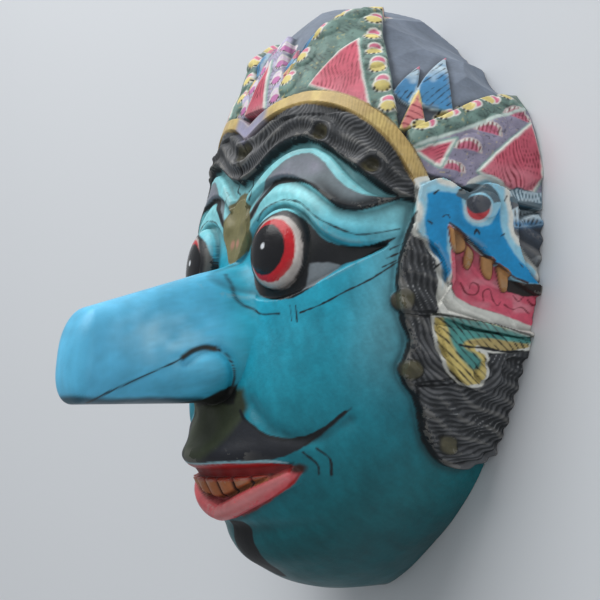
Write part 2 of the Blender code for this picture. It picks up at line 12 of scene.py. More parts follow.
import bpy
import numpy as np
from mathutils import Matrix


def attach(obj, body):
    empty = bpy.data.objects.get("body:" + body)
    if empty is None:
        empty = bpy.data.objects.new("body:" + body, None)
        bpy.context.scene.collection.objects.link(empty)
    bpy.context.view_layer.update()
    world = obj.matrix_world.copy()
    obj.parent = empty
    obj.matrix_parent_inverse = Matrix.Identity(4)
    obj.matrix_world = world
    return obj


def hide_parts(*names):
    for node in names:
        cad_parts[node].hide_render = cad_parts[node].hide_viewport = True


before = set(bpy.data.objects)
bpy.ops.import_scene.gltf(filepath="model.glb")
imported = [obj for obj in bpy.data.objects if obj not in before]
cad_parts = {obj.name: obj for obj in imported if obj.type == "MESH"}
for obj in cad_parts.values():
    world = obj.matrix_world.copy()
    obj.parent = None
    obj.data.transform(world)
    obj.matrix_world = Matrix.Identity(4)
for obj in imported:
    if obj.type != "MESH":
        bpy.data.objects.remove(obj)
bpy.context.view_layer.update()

print("nodes of the frame:", sorted(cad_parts))

# %% [markdown]
# ## Camera
# The photograph looks at the mask's left side, a little from below its middle. The camera is
# placed by three angles and a distance, as a photographer would say it: so far round to the
# side, so far down, leaning so much. The mask lies on its back, so the camera looks down on it.

# %% Camera
SIDE_ANGLE = math.radians(56)
LOW_ANGLE = math.radians(-10)
LEAN = math.radians(-5)
DISTANCE = 0.48
PIXELS_PER_METRE = 2570.0
PHOTO_SIZE = 600
ORIGIN_PIXEL = (402, 301)
SENSOR_WIDTH = 36.0  # millimetres


def camera_axes(side, low, lean):
    """Right, up and backward axes: turned round by side, lowered by low, then rolled by lean."""
    back = np.array([math.sin(side) * math.cos(low), math.sin(low), math.cos(side) * math.cos(low)])
    right = np.array([math.cos(side), 0.0, -math.sin(side)])
    up = np.cross(back, right)
    return (math.cos(lean) * right - math.sin(lean) * up,
            math.sin(lean) * right + math.cos(lean) * up, back)


def add_camera():
    """Camera that sees the frame's origin at ORIGIN_PIXEL, DISTANCE away."""
    right, up, back = camera_axes(SIDE_ANGLE, LOW_ANGLE, LEAN)
    focal = PIXELS_PER_METRE * DISTANCE
    aside = (ORIGIN_PIXEL[0] - PHOTO_SIZE / 2) / focal
    above = -(ORIGIN_PIXEL[1] - PHOTO_SIZE / 2) / focal
    place = -DISTANCE * (-back + aside * right + above * up)
    data = bpy.data.cameras.new("camera")
    data.sensor_width = SENSOR_WIDTH
    data.lens = SENSOR_WIDTH * focal / PHOTO_SIZE
    camera = bpy.data.objects.new("camera", data)
    camera.matrix_world = [[*right, 0], [*up, 0], [*back, 0], [*place, 1]]
    bpy.context.scene.collection.objects.link(camera)
    bpy.context.scene.camera = camera
    return camera


camera = add_camera()
print("camera at", [round(c, 3) for c in camera.location], "lens", round(camera.data.lens, 1), "mm")

# %% [markdown]
# ## The smooth head
# Under the carving lies a plain, full head. Its outline on the table and its profile from chin to
# crown are two curves, and a section a little squarer than an ellipse joins them. A subdivision
# cage could give this shape too, but two measured curves keep it true to the solid of the part.

# %% Sizes and curves of the head
MASK_HEIGHT = 0.221  # chin to skull, along Y
MASK_WIDTH = 0.1396  # side to side of the smooth head, along X; the ear ornaments stand out past it
FACE_DEPTH = 0.076  # rim plane up to the bridge of the nose
NOSE_LENGTH = 0.062  # how far the nose stands out past the bridge
WALL = 0.009  # wood left between the smooth head and the hollow
SQUARES_HIGH = 221.0
SQUARES_WIDE = 139.6
SQUARES_DEEP = 76.0
UNIT = np.array([MASK_WIDTH / SQUARES_WIDE, MASK_HEIGHT / SQUARES_HIGH, FACE_DEPTH / SQUARES_DEEP])
RIM = [(0, -108), (13, -102.5), (26, -92.5), (38.5, -81), (50, -65.5), (58, -46), (64, -27), (68, -8),
       (69.8, 10), (69.3, 27), (67, 44), (62.5, 57), (55, 68.5), (44.5, 78.5), (32.5, 88.5), (17, 102),
       (0, 111)]
MIDLINE = [(-108, 0), (-109.3, 14), (-110, 28), (-108, 41.5), (-102.5, 52), (-95, 60), (-86, 66.5),
           (-75, 72), (-60, 75.5), (-42, 77), (-21, 76.5), (0, 76), (20, 75.5), (40, 74), (57, 71),
           (72, 68), (86, 64), (97, 57), (105, 46), (110, 31), (111, 15), (111, 0)]
SECTION_POWER = 2.25  # 2 is an ellipse, more is squarer
TINY = 1e-9  # keeps a division by zero away
BACK_SHARE = 0.15  # how far the sheet closes below the rim plane, before that is cut off


# %% Curves
def smooth_curve(points, pieces=16, mirror=(-1, -1)):
    """Catmull-Rom curve through the points.

    Before its first and after its last point it goes on as its own reflection: through the end
    point, or in the line x = 0 with mirror (-1, 1), or in y = 0 with (1, -1), which rounds the end.
    """
    p = np.array(points, float)
    flip = np.array(mirror)
    ends = np.vstack([p[0] + (p[1] - p[0]) * flip, p, p[-1] + (p[-2] - p[-1]) * flip])
    u = np.linspace(0, 1, pieces, endpoint=False)[:, None]
    spans = []
    for a, b, c, d in zip(ends, ends[1:], ends[2:], ends[3:]):
        spans.append(0.5 * (2 * b + (c - a) * u + (2 * a - 5 * b + 4 * c - d) * u ** 2
                            + (3 * b - a - 3 * c + d) * u ** 3))
    return np.vstack(spans + [p[-1:]])


def at_share(curve, share):
    """Points of a curve at given shares of its length."""
    steps = np.linalg.norm(np.diff(curve, axis=0), axis=1)
    travelled = np.concatenate([[0.0], np.cumsum(steps)])
    travelled /= travelled[-1]
    return np.stack([np.interp(share, travelled, curve[:, k]) for k in range(2)], axis=-1)


def inset(curve, distance):
    """The same curve moved sideways, to the left of its direction."""
    along = np.gradient(curve, axis=0)
    along /= np.linalg.norm(along, axis=1)[:, None]
    return curve + distance * np.stack([-along[:, 1], along[:, 0]], axis=1)


def smooth_step(low, high, value):
    """0 below low, 1 above high, and between them u * u * (3 - 2 * u), u being the share passed."""
    u = np.clip((value - low) / (high - low), 0.0, 1.0)
    return u * u * (3 - 2 * u)


# %% Formula of the head
def head(rim, midline, share, turn, back=BACK_SHARE):
    """Smooth head: (x / width) ^ power + (z / depth) ^ power = 1 across it.

    share runs from chin to crown, turn is the angle away from the midline.
    """
    edge = at_share(rim, share)
    middle = at_share(midline, share)
    width = np.maximum(edge[..., 0], TINY)
    depth = np.maximum(middle[..., 1], TINY)
    reach = ((np.abs(np.sin(turn)) / width) ** SECTION_POWER
             + (np.abs(np.cos(turn)) / depth) ** SECTION_POWER) ** (-1 / SECTION_POWER)
    x = reach * np.sin(turn)
    z = reach * np.cos(turn)
    y = edge[..., 1] + (middle[..., 0] - edge[..., 1]) * np.clip(z / depth, 0, 1)
    return np.stack([x, y, np.where(z < 0, z * back, z)], axis=-1)


def rim_curve():
    """Outline of the smooth head on the rim plane, rounded over the midline."""
    return smooth_curve(RIM, mirror=(-1, 1))


def midline_curve():
    """Profile of the smooth head, standing square on the rim plane."""
    return smooth_curve(MIDLINE, mirror=(1, -1))


print("one square of the drawing, metres:", UNIT)

# %% [markdown]
# ## The grid and the drawing on it
# The carver draws on the rounded block before cutting. Here the drawing has two coordinates in
# squares of one millimetre: s runs sideways from the midline, t runs along it, from 0 at the
# bridge of the nose up to the crown. Rows and columns of the grid stand closer where the nose
# will stretch them and where the carving is fine. Only one half is worked out, the other mirrors it.

# %% Grid of the surface
ROW_STOPS = [(-112, 0.9), (-52, 0.42), (2, 0.27), (118, 0.42), (None, 0.8)]  # up to this t, this far apart
COLUMN_STOPS = [(19, 0.22), (108, 0.42), (None, 0.8)]  # the same for s
FINE_STEPS = 2000  # for measuring along the row through the bridge


def outward(points):
    """Unit normals of a sheet of points whose rows run chin to crown."""
    rows = np.gradient(points, axis=0)
    columns = np.gradient(points, axis=1)
    normals = np.cross(columns, rows)
    normals[0] = normals[1]
    normals[-1] = normals[-2]
    return normals / np.maximum(np.linalg.norm(normals, axis=-1, keepdims=True), TINY)


def spaced(start, stops, end):
    """Numbers from start to end: up to each stop they are its pitch apart."""
    numbers = [np.array([start])]
    for stop, pitch in stops:
        stop = end if stop is None else stop
        count = max(int(np.ceil((stop - start) / pitch)), 1)
        numbers.append(np.linspace(start, stop, count + 1)[1:])
        start = stop
    return np.concatenate(numbers)


def along_rows(points):
    """Distance along each row of a sheet of points, from its first column."""
    steps = np.linalg.norm(np.diff(points, axis=1), axis=2)
    return np.concatenate([np.zeros((len(steps), 1)), np.cumsum(steps, axis=1)], axis=1)


def bridge_distance():
    """Length of the whole midline, and of its part below the bridge of the nose."""
    midline = midline_curve()
    lengths = np.concatenate([[0], np.cumsum(np.linalg.norm(np.diff(midline, axis=0), axis=1))])
    front = midline[:, 1] > SQUARES_DEEP / 2
    return lengths[-1], np.interp(0.0, midline[front, 0], lengths[front])


whole, below = bridge_distance()
row_t = spaced(-below, ROW_STOPS, whole - below)
row_share = (row_t + below) / whole
fine_turn = np.linspace(0, np.pi / 2, FINE_STEPS)[None, :]
fine_row = head(rim_curve(), midline_curve(), np.full(fine_turn.shape, below / whole), fine_turn, 1.0)
fine_s = along_rows(fine_row)[0]
column_s = spaced(0.0, COLUMN_STOPS, fine_s[-1])
column_turn = np.interp(column_s, fine_s, fine_turn[0])
share, turn = np.meshgrid(row_share, column_turn, indexing="ij")
smooth_points = head(rim_curve(), midline_curve(), share, turn, 1.0)
S = along_rows(smooth_points)
T = np.repeat(row_t[:, None], len(column_s), axis=1)
print("half grid:", S.shape, "rows and columns")

# %% [markdown]
# ## Distances and noise
# Everything on the mask is measured from outlines: how far a point lies inside a shape says how
# high the wood stands there. Smooth noise, drawn from a seeded table of random numbers, keeps
# what is repeated from looking stamped.

# %% Distances on the drawing
FAR = 99.0  # stands for any distance past the margin
MARGIN = 9.0  # distances are worked out this far round an outline
CRISP = 1.2  # width of a steep edge of the carving
SOFT = 2.0  # and of a softer one
LATTICE = 64  # random numbers in each row of a lattice, after which it repeats


def to_segments(s, t, starts, ends):
    """Distance to the nearest of some straight lines: |point - start - u * along|, u within 0 to 1."""
    nearest = np.full(s.shape, FAR)
    for (ax, ay), (bx, by) in zip(starts, ends):
        length = max((bx - ax) ** 2 + (by - ay) ** 2, TINY)
        u = np.clip(((s - ax) * (bx - ax) + (t - ay) * (by - ay)) / length, 0, 1)
        nearest = np.minimum(nearest, np.hypot(s - ax - u * (bx - ax), t - ay - u * (by - ay)))
    return nearest


def close_to(s, t, points, margin):
    """Which points lie in the box of an outline, widened by a margin."""
    low = points.min(axis=0) - margin
    high = points.max(axis=0) + margin
    return (s > low[0]) & (s < high[0]) & (t > low[1]) & (t < high[1])


def to_outline(s, t, points, margin=MARGIN):
    """Distance to a closed outline, negative inside it. Far from it the answer is only FAR."""
    points = np.array(points, float)
    distance = np.full(s.shape, FAR)
    close = close_to(s, t, points, margin)
    s, t = s[close], t[close]
    around = np.roll(points, -1, axis=0)
    inside = np.zeros(s.shape, bool)
    for (ax, ay), (bx, by) in zip(points, around):
        if ay != by:
            inside ^= ((ay > t) != (by > t)) & (s < ax + (t - ay) * (bx - ax) / (by - ay))
    nearest = to_segments(s, t, points, around)
    distance[close] = np.where(inside, -nearest, nearest)
    return distance


def to_line(s, t, points, margin=MARGIN):
    """Distance to an open line. Far from it the answer is only FAR."""
    points = np.array(points, float)
    distance = np.full(s.shape, FAR)
    close = close_to(s, t, points, margin)
    distance[close] = to_segments(s[close], t[close], points[:-1], points[1:])
    return distance


# %% Forms and noise
def drawn(points, pieces=4):
    """Distance on the drawing to a smooth closed outline."""
    return to_outline(S, T, smooth_curve(points + points[:1], pieces))


def hill(s, t, centre, size):
    """Round swelling of height 1: e ^ -((s / size)^2 + (t / size)^2), measured from its centre."""
    return np.exp(-((s - centre[0]) / size[0]) ** 2 - ((t - centre[1]) / size[1]) ** 2)


def raised(distance, edge=CRISP):
    """1 inside an outline and 0 outside, over a steep edge."""
    return smooth_step(edge / 2, -edge / 2, distance)


def dome(s, t, centre, radii):
    """Part of a ball: the root of 1 - r^2, r being the share of its radii."""
    share = np.hypot((s - centre[0]) / radii[0], (t - centre[1]) / radii[1])
    return np.sqrt(np.clip(1 - share ** 2, 0, 1))


def cloud(s, t, size, seed):
    """Smooth noise from -1 to 1: random numbers on a lattice, blended with S-curves between them."""
    lattice = np.random.default_rng(seed).uniform(-1, 1, (LATTICE, LATTICE))
    u, v = s / size, t / size
    i, j = np.floor(u).astype(int), np.floor(v).astype(int)
    a, b = smooth_step(0, 1, u - i), smooth_step(0, 1, v - j)
    i, i_next = i % LATTICE, (i + 1) % LATTICE
    j, j_next = j % LATTICE, (j + 1) % LATTICE
    low = lattice[i, j] * (1 - a) + lattice[i_next, j] * a
    high = lattice[i, j_next] * (1 - a) + lattice[i_next, j_next] * a
    return low * (1 - b) + high * b


# %% [markdown]
# ## Mouth and cheeks
# The muzzle swells under the nose and carries a parted mouth. The teeth are cut in one row and
# stained brown-gold. The moustache isn't carved: it is a dark painted shape with a long tail.

# %% Mouth and cheeks, carved
MUZZLE = ((0, -62), (24, 24))
UPPER_LIP = ((0, -66.5), (22, 4.2))
PHILTRUM = ((0, -56.5), (8, 5))
NOSTRIL = ((13, -53), (7, 4.5))
CHIN = ((0, -103), (16, 9))
CHIN_GROOVE = ((0, -93.5), (26, 3))
CHEEK = ((42, -36), (22, 22))
CHEEK_FOLD = [(19, -50), (28, -60), (40, -63), (52, -57)]
MOUTH = [(-32, -70.5), (0, -70.5), (32, -70.5), (30, -73.5), (23, -75.6), (15.5, -78), (8, -80.5),
         (0, -82.5), (-8, -80.5), (-15.5, -78), (-23, -75.6), (-30, -73.5)]
TOOTH_PITCH = 6.8
TOOTH_TOP = -74
TOOTH_ENDS = (-82, -79)
TOOTH_MARGIN = 1.5  # the teeth start this far inside the edge of the mouth
TOOTH_ROUNDNESS = 0.5
LOWER_LIP = [(0, -85.6), (4, -84.8), (8, -83.4), (15, -80.8), (23, -77.8), (31, -75)]
LIP_HALF_WIDTH = 3.3
LIP_REACH = 22  # how far its height carries towards the corners
MUZZLE_HEIGHT = 8.0
UPPER_LIP_HEIGHT = 4.8
LOWER_LIP_HEIGHT = 5.6
PHILTRUM_DEPTH = 2.4
NOSTRIL_DEPTH = 2.0
MOUTH_DEPTH = 1.2
TOOTH_HEIGHT = 2.6
CHIN_HEIGHT = 2.8
CHIN_GROOVE_DEPTH = 1.6
CHEEK_HEIGHT = 3.0
FOLD_DEPTH = 1.2
FOLD_HALF_WIDTH = 2.4


def mouth_relief(s, t):
    """Muzzle, lips and chin as hills, and in the open mouth teeth as |cosine| of s over their pitch."""
    height = MUZZLE_HEIGHT * hill(s, t, *MUZZLE) + UPPER_LIP_HEIGHT * hill(s, t, *UPPER_LIP)
    height -= PHILTRUM_DEPTH * hill(s, t, *PHILTRUM) + NOSTRIL_DEPTH * hill(s, t, *NOSTRIL)
    across_lip = np.clip(1 - (to_line(s, t, LOWER_LIP) / LIP_HALF_WIDTH) ** 2, 0, 1)
    height += LOWER_LIP_HEIGHT * np.sqrt(across_lip) * np.exp(-(s / LIP_REACH) ** 2)
    gap = to_outline(s, t, MOUTH)
    height -= MOUTH_DEPTH * raised(gap, SOFT)
    teeth = np.abs(np.cos(np.pi * s / TOOTH_PITCH)) ** TOOTH_ROUNDNESS * (t < TOOTH_TOP)
    height += TOOTH_HEIGHT * raised(gap + TOOTH_MARGIN, SOFT) * teeth * smooth_step(*TOOTH_ENDS, t)
    return height + CHIN_HEIGHT * hill(s, t, *CHIN) - CHIN_GROOVE_DEPTH * hill(s, t, *CHIN_GROOVE)


def cheek_relief(s, t):
    """Full cheek as a hill, less the fold beside the nose: e ^ -(distance / half width)^2."""
    fold = to_line(s, t, smooth_curve(CHEEK_FOLD, 4))
    return CHEEK_HEIGHT * hill(s, t, *CHEEK) - FOLD_DEPTH * np.exp(-(fold / FOLD_HALF_WIDTH) ** 2)


relief = mouth_relief(S, T) + cheek_relief(S, T)
print("mouth and cheeks stand up to", relief.max().round(1), "squares")

# %% [markdown]
# ## Eyes and brows
# Each eye is a ball in a sunk, almond-shaped opening, painted in rings: white, red and a black
# pupil. A thin line follows the lid fold, another swings under the eye to the temple. The brow is
# a low grey ridge with a heavy black underside, and an olive-gold mark stands between the brows.

# %% Eyes and brows, carved
EYE = (25, 2.5)
EYE_RADII = (11.8, 14.2)
EYE_OPENING = [(3, -1), (9, -9), (18, -14), (29, -14.5), (40, -10), (50, -4), (62, 3.5), (50, 3),
               (41, 7), (34, 14), (25, 18), (15, 16), (7, 8)]
LID = [(5, 14), (14, 21), (25, 23), (37, 17), (46, 9), (64, 8)]
BROW_LOW = [(5, 20), (14, 26.5), (25, 28), (35, 23), (44, 16.5), (54, 15), (66, 20.5)]
BROW_HIGH = [(66, 20.5), (56, 20.5), (47, 27), (38, 36), (27, 38.5), (16, 34), (5, 24)]
EYE_MOUND = ((31, 4), (24, 22))
BROW_MARK = ((0, 12), (7.5, 12))
EYE_MOUND_HEIGHT = 5.5
EYE_OPENING_DEPTH = 2.4
EYE_BULGE = 8.6
LID_HEIGHT = 1.0
LID_HALF_WIDTH = 2.6
BROW_HEIGHT = 2.2
BROW_MARK_HEIGHT = 1.0


def eye_relief(s, t):
    """A dome in a sunk opening, the lid as a ridge e ^ -(distance / half width)^2, and the brow on top."""
    opening = drawn(EYE_OPENING)
    height = EYE_MOUND_HEIGHT * hill(s, t, *EYE_MOUND) - EYE_OPENING_DEPTH * raised(opening, SOFT)
    ball = dome(s, t, EYE, EYE_RADII)
    round_eye = EYE_OPENING_DEPTH + (EYE_BULGE - EYE_OPENING_DEPTH) * ball
    height = np.where(ball > 0, np.maximum(height, round_eye), height)
    lid = to_line(s, t, smooth_curve(LID, 4))
    height += LID_HEIGHT * np.exp(-(lid / LID_HALF_WIDTH) ** 2) * (ball == 0)
    brow = to_outline(s, t, np.vstack([smooth_curve(BROW_LOW, 4), smooth_curve(BROW_HIGH, 4)]))
    height += BROW_HEIGHT * raised(brow, SOFT)
    return height + BROW_MARK_HEIGHT * raised(dome(s, t, *BROW_MARK) == 0)


relief += eye_relief(S, T)
print("eyes and brows stand up to", relief[T > -20].max().round(1), "squares")

# %% [markdown]
# ## Hair and gold band
# Waved locks come out under the gold band, and three tiers of them hang in front of each ear. The
# locks are cut with a small V-gouge: many fine grooves that follow the lock. In the grooves the
# black paint stays dark, on the crests it is rubbed grey. Round knobs end the locks.

# %% Hair and band, carved
HAIR_LOW = [(0, 29.5), (8, 32.5), (18, 38.5), (28, 41.5), (37, 38.5), (45, 33), (53, 27), (62, 21.5),
            (71, 19)]
GOLD = [(0, 48), (8, 53), (17, 56), (27, 57.2), (37, 55.5), (46, 51.8), (54.5, 46.5), (62, 39.5),
        (68.5, 30), (72, 24)]
GOLD_WIDTH = 5.5
CURL_EYES = [(2, 40.5), (35, 43), (54, 30.5)]
CURL_RADIUS = 4.2
SIDE_HAIR = [(70, 14), (67, 2), (66, -10), (68, -22), (71, -30), (69, -42), (74, -52), (76, -66),
             (81, -76), (90, -80), (104, -76), (125, -66), (125, 20), (96, 12)]
SIDE_CURL_EYES = [(68, -16), (71.5, -40), (83, -68)]
SIDE_KNOB_RADII = (4.0, 4.0)
HAIR_HEIGHT = 3.6
LOCK_PITCH = 6.5  # from one lock of hair to the next
LOCK_DEPTH = 0.7
LOCK_SWAY = 1.2  # how far the locks sway from side to side, as an angle in radians
LOCK_SWAY_RATE = 0.2  # and how fast, in radians to the square
SIDE_SWAY_RATE = 0.25
SIDE_LOCK_STEP = (0.55, 0.83)  # direction from one side lock to the next
CURL_RING = (1.0, 1.6)  # height and width of the ring of a curl
CURL_PIT = (1.4, 2.0)  # depth and width of the hole in its middle
BAND_LAP = 0.6  # how far the foot of the gold band laps over the hair
GOLD_HEIGHT = 4.6
KNOB_HEIGHT = 1.6
TIER_HEIGHT = 0.9  # each tier of side locks steps up by this
TIER_EDGE = 2.4
FRINGE_CENTRE = (25, -5)
FRINGE_RADIUS = 50.0
STRAND_PITCH = 1.3
SIDE_PITCH = 1.9
STRAND_DEPTH = 0.26
STRAND_MARGIN = 0.8  # strands are cut up to this far inside the hair
SWIRL = 1.3  # how far the strands of the fringe swing to the side
SWIRL_LENGTHS = (16, 19)  # over which they do, outwards and around
STRAND_NOISE = (1.1, 5.0, 11)  # size of its effect, size of its clouds, seed
SIDE_NOISE = (1.0, 6.0, 12)
CURL_REACH = 5.2  # round a curl the strands are rings, this far out
SIDE_TIERS = [[(69, 10), (66.2, 0), (66, -10), (65.5, -16), (68, -20.5), (80, -20.5), (84, -12),
              (82, 4), (76, 12)], [(68.5, -20), (70.6, -31.8), (67.8, -39), (69.8, -44), (74, -45.5),
              (86, -44.5), (92, -34), (84, -21)], [(73, -45), (75.6, -58.2), (77.5, -68), (81.7, -75),
              (91.3, -76), (100, -73), (108, -66), (122, -58), (122, -24), (104, -30), (88, -42)]]
TIER_CENTRES = [(125, 6), (122, -4), (86, -30)]


gold_line = smooth_curve(GOLD, 5)
hair_line = smooth_curve(HAIR_LOW, 4)
fringe = to_outline(S, T, np.vstack([hair_line, gold_line[::-1]]))
band = to_line(S, T, gold_line) - GOLD_WIDTH / 2
side_hair = drawn(SIDE_HAIR)


def hair_relief(s, t):
    """Locks as cosine waves along the hair, curls as rings and pits, and the band where it is higher."""
    across = to_line(s, t, hair_line)
    locks = LOCK_DEPTH * np.cos(2 * np.pi * across / LOCK_PITCH + LOCK_SWAY * np.sin(LOCK_SWAY_RATE * s))
    height = (HAIR_HEIGHT + locks) * raised(fringe, SOFT)
    for centre in CURL_EYES:
        ring = np.hypot(s - centre[0], t - centre[1])
        height += CURL_RING[0] * np.exp(-((ring - CURL_RADIUS) / CURL_RING[1]) ** 2)
        height -= CURL_PIT[0] * np.exp(-(ring / CURL_PIT[1]) ** 2)
    height = np.where(band < BAND_LAP, np.maximum(height, GOLD_HEIGHT * raised(band)), height)
    down = SIDE_LOCK_STEP[0] * s + SIDE_LOCK_STEP[1] * t
    sideways = SIDE_LOCK_STEP[1] * s - SIDE_LOCK_STEP[0] * t
    sway = LOCK_SWAY * np.sin(SIDE_SWAY_RATE * sideways)
    locks = LOCK_DEPTH * np.sin(2 * np.pi * down / LOCK_PITCH + sway)
    height = np.maximum(height, (HAIR_HEIGHT + locks) * raised(side_hair, SOFT))
    for centre in SIDE_CURL_EYES:
        height += KNOB_HEIGHT * dome(s, t, centre, SIDE_KNOB_RADII)
    return height


# %% Strands, carved
def grooves(phase, pitch):
    """V-cuts side by side: 1 - |2 * fraction - 1| of phase / pitch, 0 on crests and 1 at bottoms."""
    fraction = phase / pitch - np.floor(phase / pitch)
    return 1 - np.abs(2 * fraction - 1)


def unevenness(effect, size, seed):
    """Clouds of a size, times how strongly they count."""
    return effect * cloud(S, T, size, seed)


relief_hair = hair_relief(S, T)
radius = np.hypot(S - FRINGE_CENTRE[0], T - FRINGE_CENTRE[1])
around = np.arctan2(S - FRINGE_CENTRE[0], T - FRINGE_CENTRE[1]) * FRINGE_RADIUS
wave = 2 * np.pi * (radius / SWIRL_LENGTHS[0] + around / SWIRL_LENGTHS[1])
fringe_cut = grooves(around + SWIRL * np.sin(wave) + unevenness(*STRAND_NOISE), STRAND_PITCH)
for centre in CURL_EYES:
    ring = np.hypot(S - centre[0], T - centre[1])
    fringe_cut = np.where(ring < CURL_REACH, grooves(ring, STRAND_PITCH), fringe_cut)
relief_hair -= STRAND_DEPTH * fringe_cut * raised(fringe + STRAND_MARGIN) * raised(-band)

# %% Tiers of side locks, carved
side_cut = np.zeros(S.shape)
tier_step = np.zeros(S.shape)
tier_edges = []
for tier, centre in zip(SIDE_TIERS[::-1], TIER_CENTRES[::-1]):
    inside = drawn(tier)
    tier_edges.append(inside)
    cut = grooves(np.hypot(S - centre[0], T - centre[1]) + unevenness(*SIDE_NOISE), SIDE_PITCH)
    side_cut = np.where(inside < 0, cut, side_cut)
    tier_step = np.where(inside < 0, TIER_HEIGHT * raised(inside, TIER_EDGE), tier_step)
relief_hair += tier_step * raised(side_hair) - STRAND_DEPTH * side_cut * raised(side_hair + STRAND_MARGIN)
print("hair stands up to", relief_hair.max().round(1), "squares")

# %% [markdown]
# ## Crown
# Pointed leaves stand in low slabs in front of the shaved skull. Every leaf has a border of
# folded flowers, cream with black dots and pink, round a pink-red field. Small wedges and blue
# plumes fill the corners. The patterns are the common ones of such crowns and are drawn anew.

# %% Crown, carved
CENTRE_LEAF = [(-17, 56), (17, 56), (7, 77), (0, 92), (-7, 77)]
CENTRE_FIELD = [(-8, 52), (8, 52), (0, 79)]
SIDE_LEAF = [(11, 60), (40, 53), (62, 42), (57, 55), (52, 68), (45.5, 83), (37, 97), (23, 117), (24, 100),
             (20, 87), (14.5, 75)]
SIDE_FIELD = [(25, 62), (50, 52), (35.5, 84)]
INNER_WEDGE = [(3, 58), (14, 64), (12.5, 76)]
INNER_PLUMES = [[(5, 70), (15, 68), (11, 82)], [(12, 76), (22, 80), (17.5, 94)]]
OUTER_WEDGE = [(60, 44), (69, 48), (62.5, 64)]
OUTER_PLUMES = [[(54, 60), (64, 54), (59.5, 78)], [(61, 57), (77, 55), (65.5, 90)]]
EAR_LEAF = [(68, 30), (63, 45), (74, 54), (82, 63.5), (92, 74), (102, 83), (125, 70), (125, 22),
            (100, 22)]
EAR_FIELD = [(88.5, 33), (106, 61), (116, 38), (105, 29)]
FLOWER_ROWS = [((55, 54), (30, 103), 6), ((15, 65), (27, 97), 4), ((78, 32), (99, 67), 4), ((69, 43),
               (94, 69), 4)]
PLUME_HEIGHT = 2.2
LEAF_HEIGHT = 3.5
FIELD_HEIGHT = 0.9
FLOWER_HEIGHT = 1.1
FLOWER_RADII = (4.2, 4.2)


def flower_row(s, t, first, last, count):
    """Folded flowers in a row, as flat domes at even shares from the first centre to the last."""
    height = np.zeros(s.shape)
    for u in np.linspace(0, 1, count):
        centre = (first[0] + (last[0] - first[0]) * u, first[1] + (last[1] - first[1]) * u)
        height = np.maximum(height, FLOWER_HEIGHT * dome(s, t, centre, FLOWER_RADII))
    return height


def crown_relief(s, t):
    """Slabs of several heights over straight-sided outlines, the highest counting, above the band only."""
    height = np.zeros(s.shape)
    for plume in INNER_PLUMES + OUTER_PLUMES:
        height = np.maximum(height, PLUME_HEIGHT * raised(to_outline(s, t, plume)))
    for wedge in (INNER_WEDGE, OUTER_WEDGE):
        height = np.maximum(height, (PLUME_HEIGHT + FIELD_HEIGHT) * raised(to_outline(s, t, wedge)))
    for leaf, field in ((CENTRE_LEAF, CENTRE_FIELD), (SIDE_LEAF, SIDE_FIELD), (EAR_LEAF, EAR_FIELD)):
        inside = raised(to_outline(s, t, leaf))
        slab = LEAF_HEIGHT * inside + FIELD_HEIGHT * raised(to_outline(s, t, field)) * inside
        height = np.maximum(height, slab)
    for first, last, count in FLOWER_ROWS:
        height = height + flower_row(s, t, first, last, count)
    return height * above_band


above_band = T > np.interp(S, gold_line[:, 0], gold_line[:, 1])
relief_crown = crown_relief(S, T)
print("crown stands up to", relief_crown.max().round(1), "squares")

# %% [markdown]
# ## Bird's head and curled leaf
# In front of each ear hangs a blue bird's head with an open beak, and under it a curled leaf in
# yellow and teal with black veins. They stand highest of all at the side, so their edges are cut
# deep and square.

# %% Ear ornament, carved
BIRD = [(70, 24), (77, 28), (86, 24), (92, 29), (101, 27), (105, 20), (106, 8), (112, -3), (121, -10),
        (121, -27), (80, -22), (82, -10), (77, 2), (70, 8)]
BIRD_MOUTH = [(82, 9), (90, 5), (100, -3), (111, -9), (121, -13), (121, -25), (82, -19), (84, -8)]
BIRD_EYE = (92, 20)
SCROLL = [(79, -24), (121, -29), (121, -36), (108, -35), (104, -38), (104, -45), (97, -49), (89, -45),
          (83, -36)]
SCROLL_EYE = (97, -41)
BIRD_EYE_RADII = (5.0, 5.0)
BIRD_HEIGHT = 6.2
SCROLL_HEIGHT = 5.6
BEAK_DEPTH = 2.2
SCROLL_GROOVE_DEPTH = 1.4
SCROLL_GROOVE_RING = (3.4, 1.1)  # radius and half width of the groove round the curl's eye
SCROLL_GROOVE_TOP = -36
BEAK_TEETH = [[(80.1, 10), (85.9, 6.8), (86.2, 2.6), (82, 1.7)], [(87, 4.9), (89.6, 1.7), (88.2, -3.9),
              (86.4, -2.1)], [(92.2, 1.2), (96.3, 0.3), (96.4, -6.7), (93.1, -4.8)], [(97.8, -1.1),
              (102.4, -3.5), (102.9, -10), (100.2, -9.5)]]
BEAK_TOOTH_HEIGHT = 1.3
BEAK_TOOTH_EDGE = 1.6


def ear_relief(s, t):
    """Bird's head: a slab with a sunk beak and a domed eye. Curled leaf: a slab with a round groove."""
    bird = drawn(BIRD, 3)
    height = BIRD_HEIGHT * raised(bird) - BEAK_DEPTH * raised(drawn(BIRD_MOUTH, 3))
    height += KNOB_HEIGHT * dome(s, t, BIRD_EYE, BIRD_EYE_RADII) * raised(bird)
    height = np.maximum(height, SCROLL_HEIGHT * raised(drawn(SCROLL, 3)))
    ring = np.hypot(s - SCROLL_EYE[0], t - SCROLL_EYE[1])
    from_groove = (ring - SCROLL_GROOVE_RING[0]) / SCROLL_GROOVE_RING[1]
    return height - SCROLL_GROOVE_DEPTH * (np.exp(-from_groove ** 2) * (t < SCROLL_GROOVE_TOP))


relief_ear = ear_relief(S, T)
for tooth in BEAK_TEETH:
    relief_ear += BEAK_TOOTH_HEIGHT * raised(drawn(tooth, 3), BEAK_TOOTH_EDGE)
print("ear ornament stands up to", relief_ear.max().round(1), "squares")

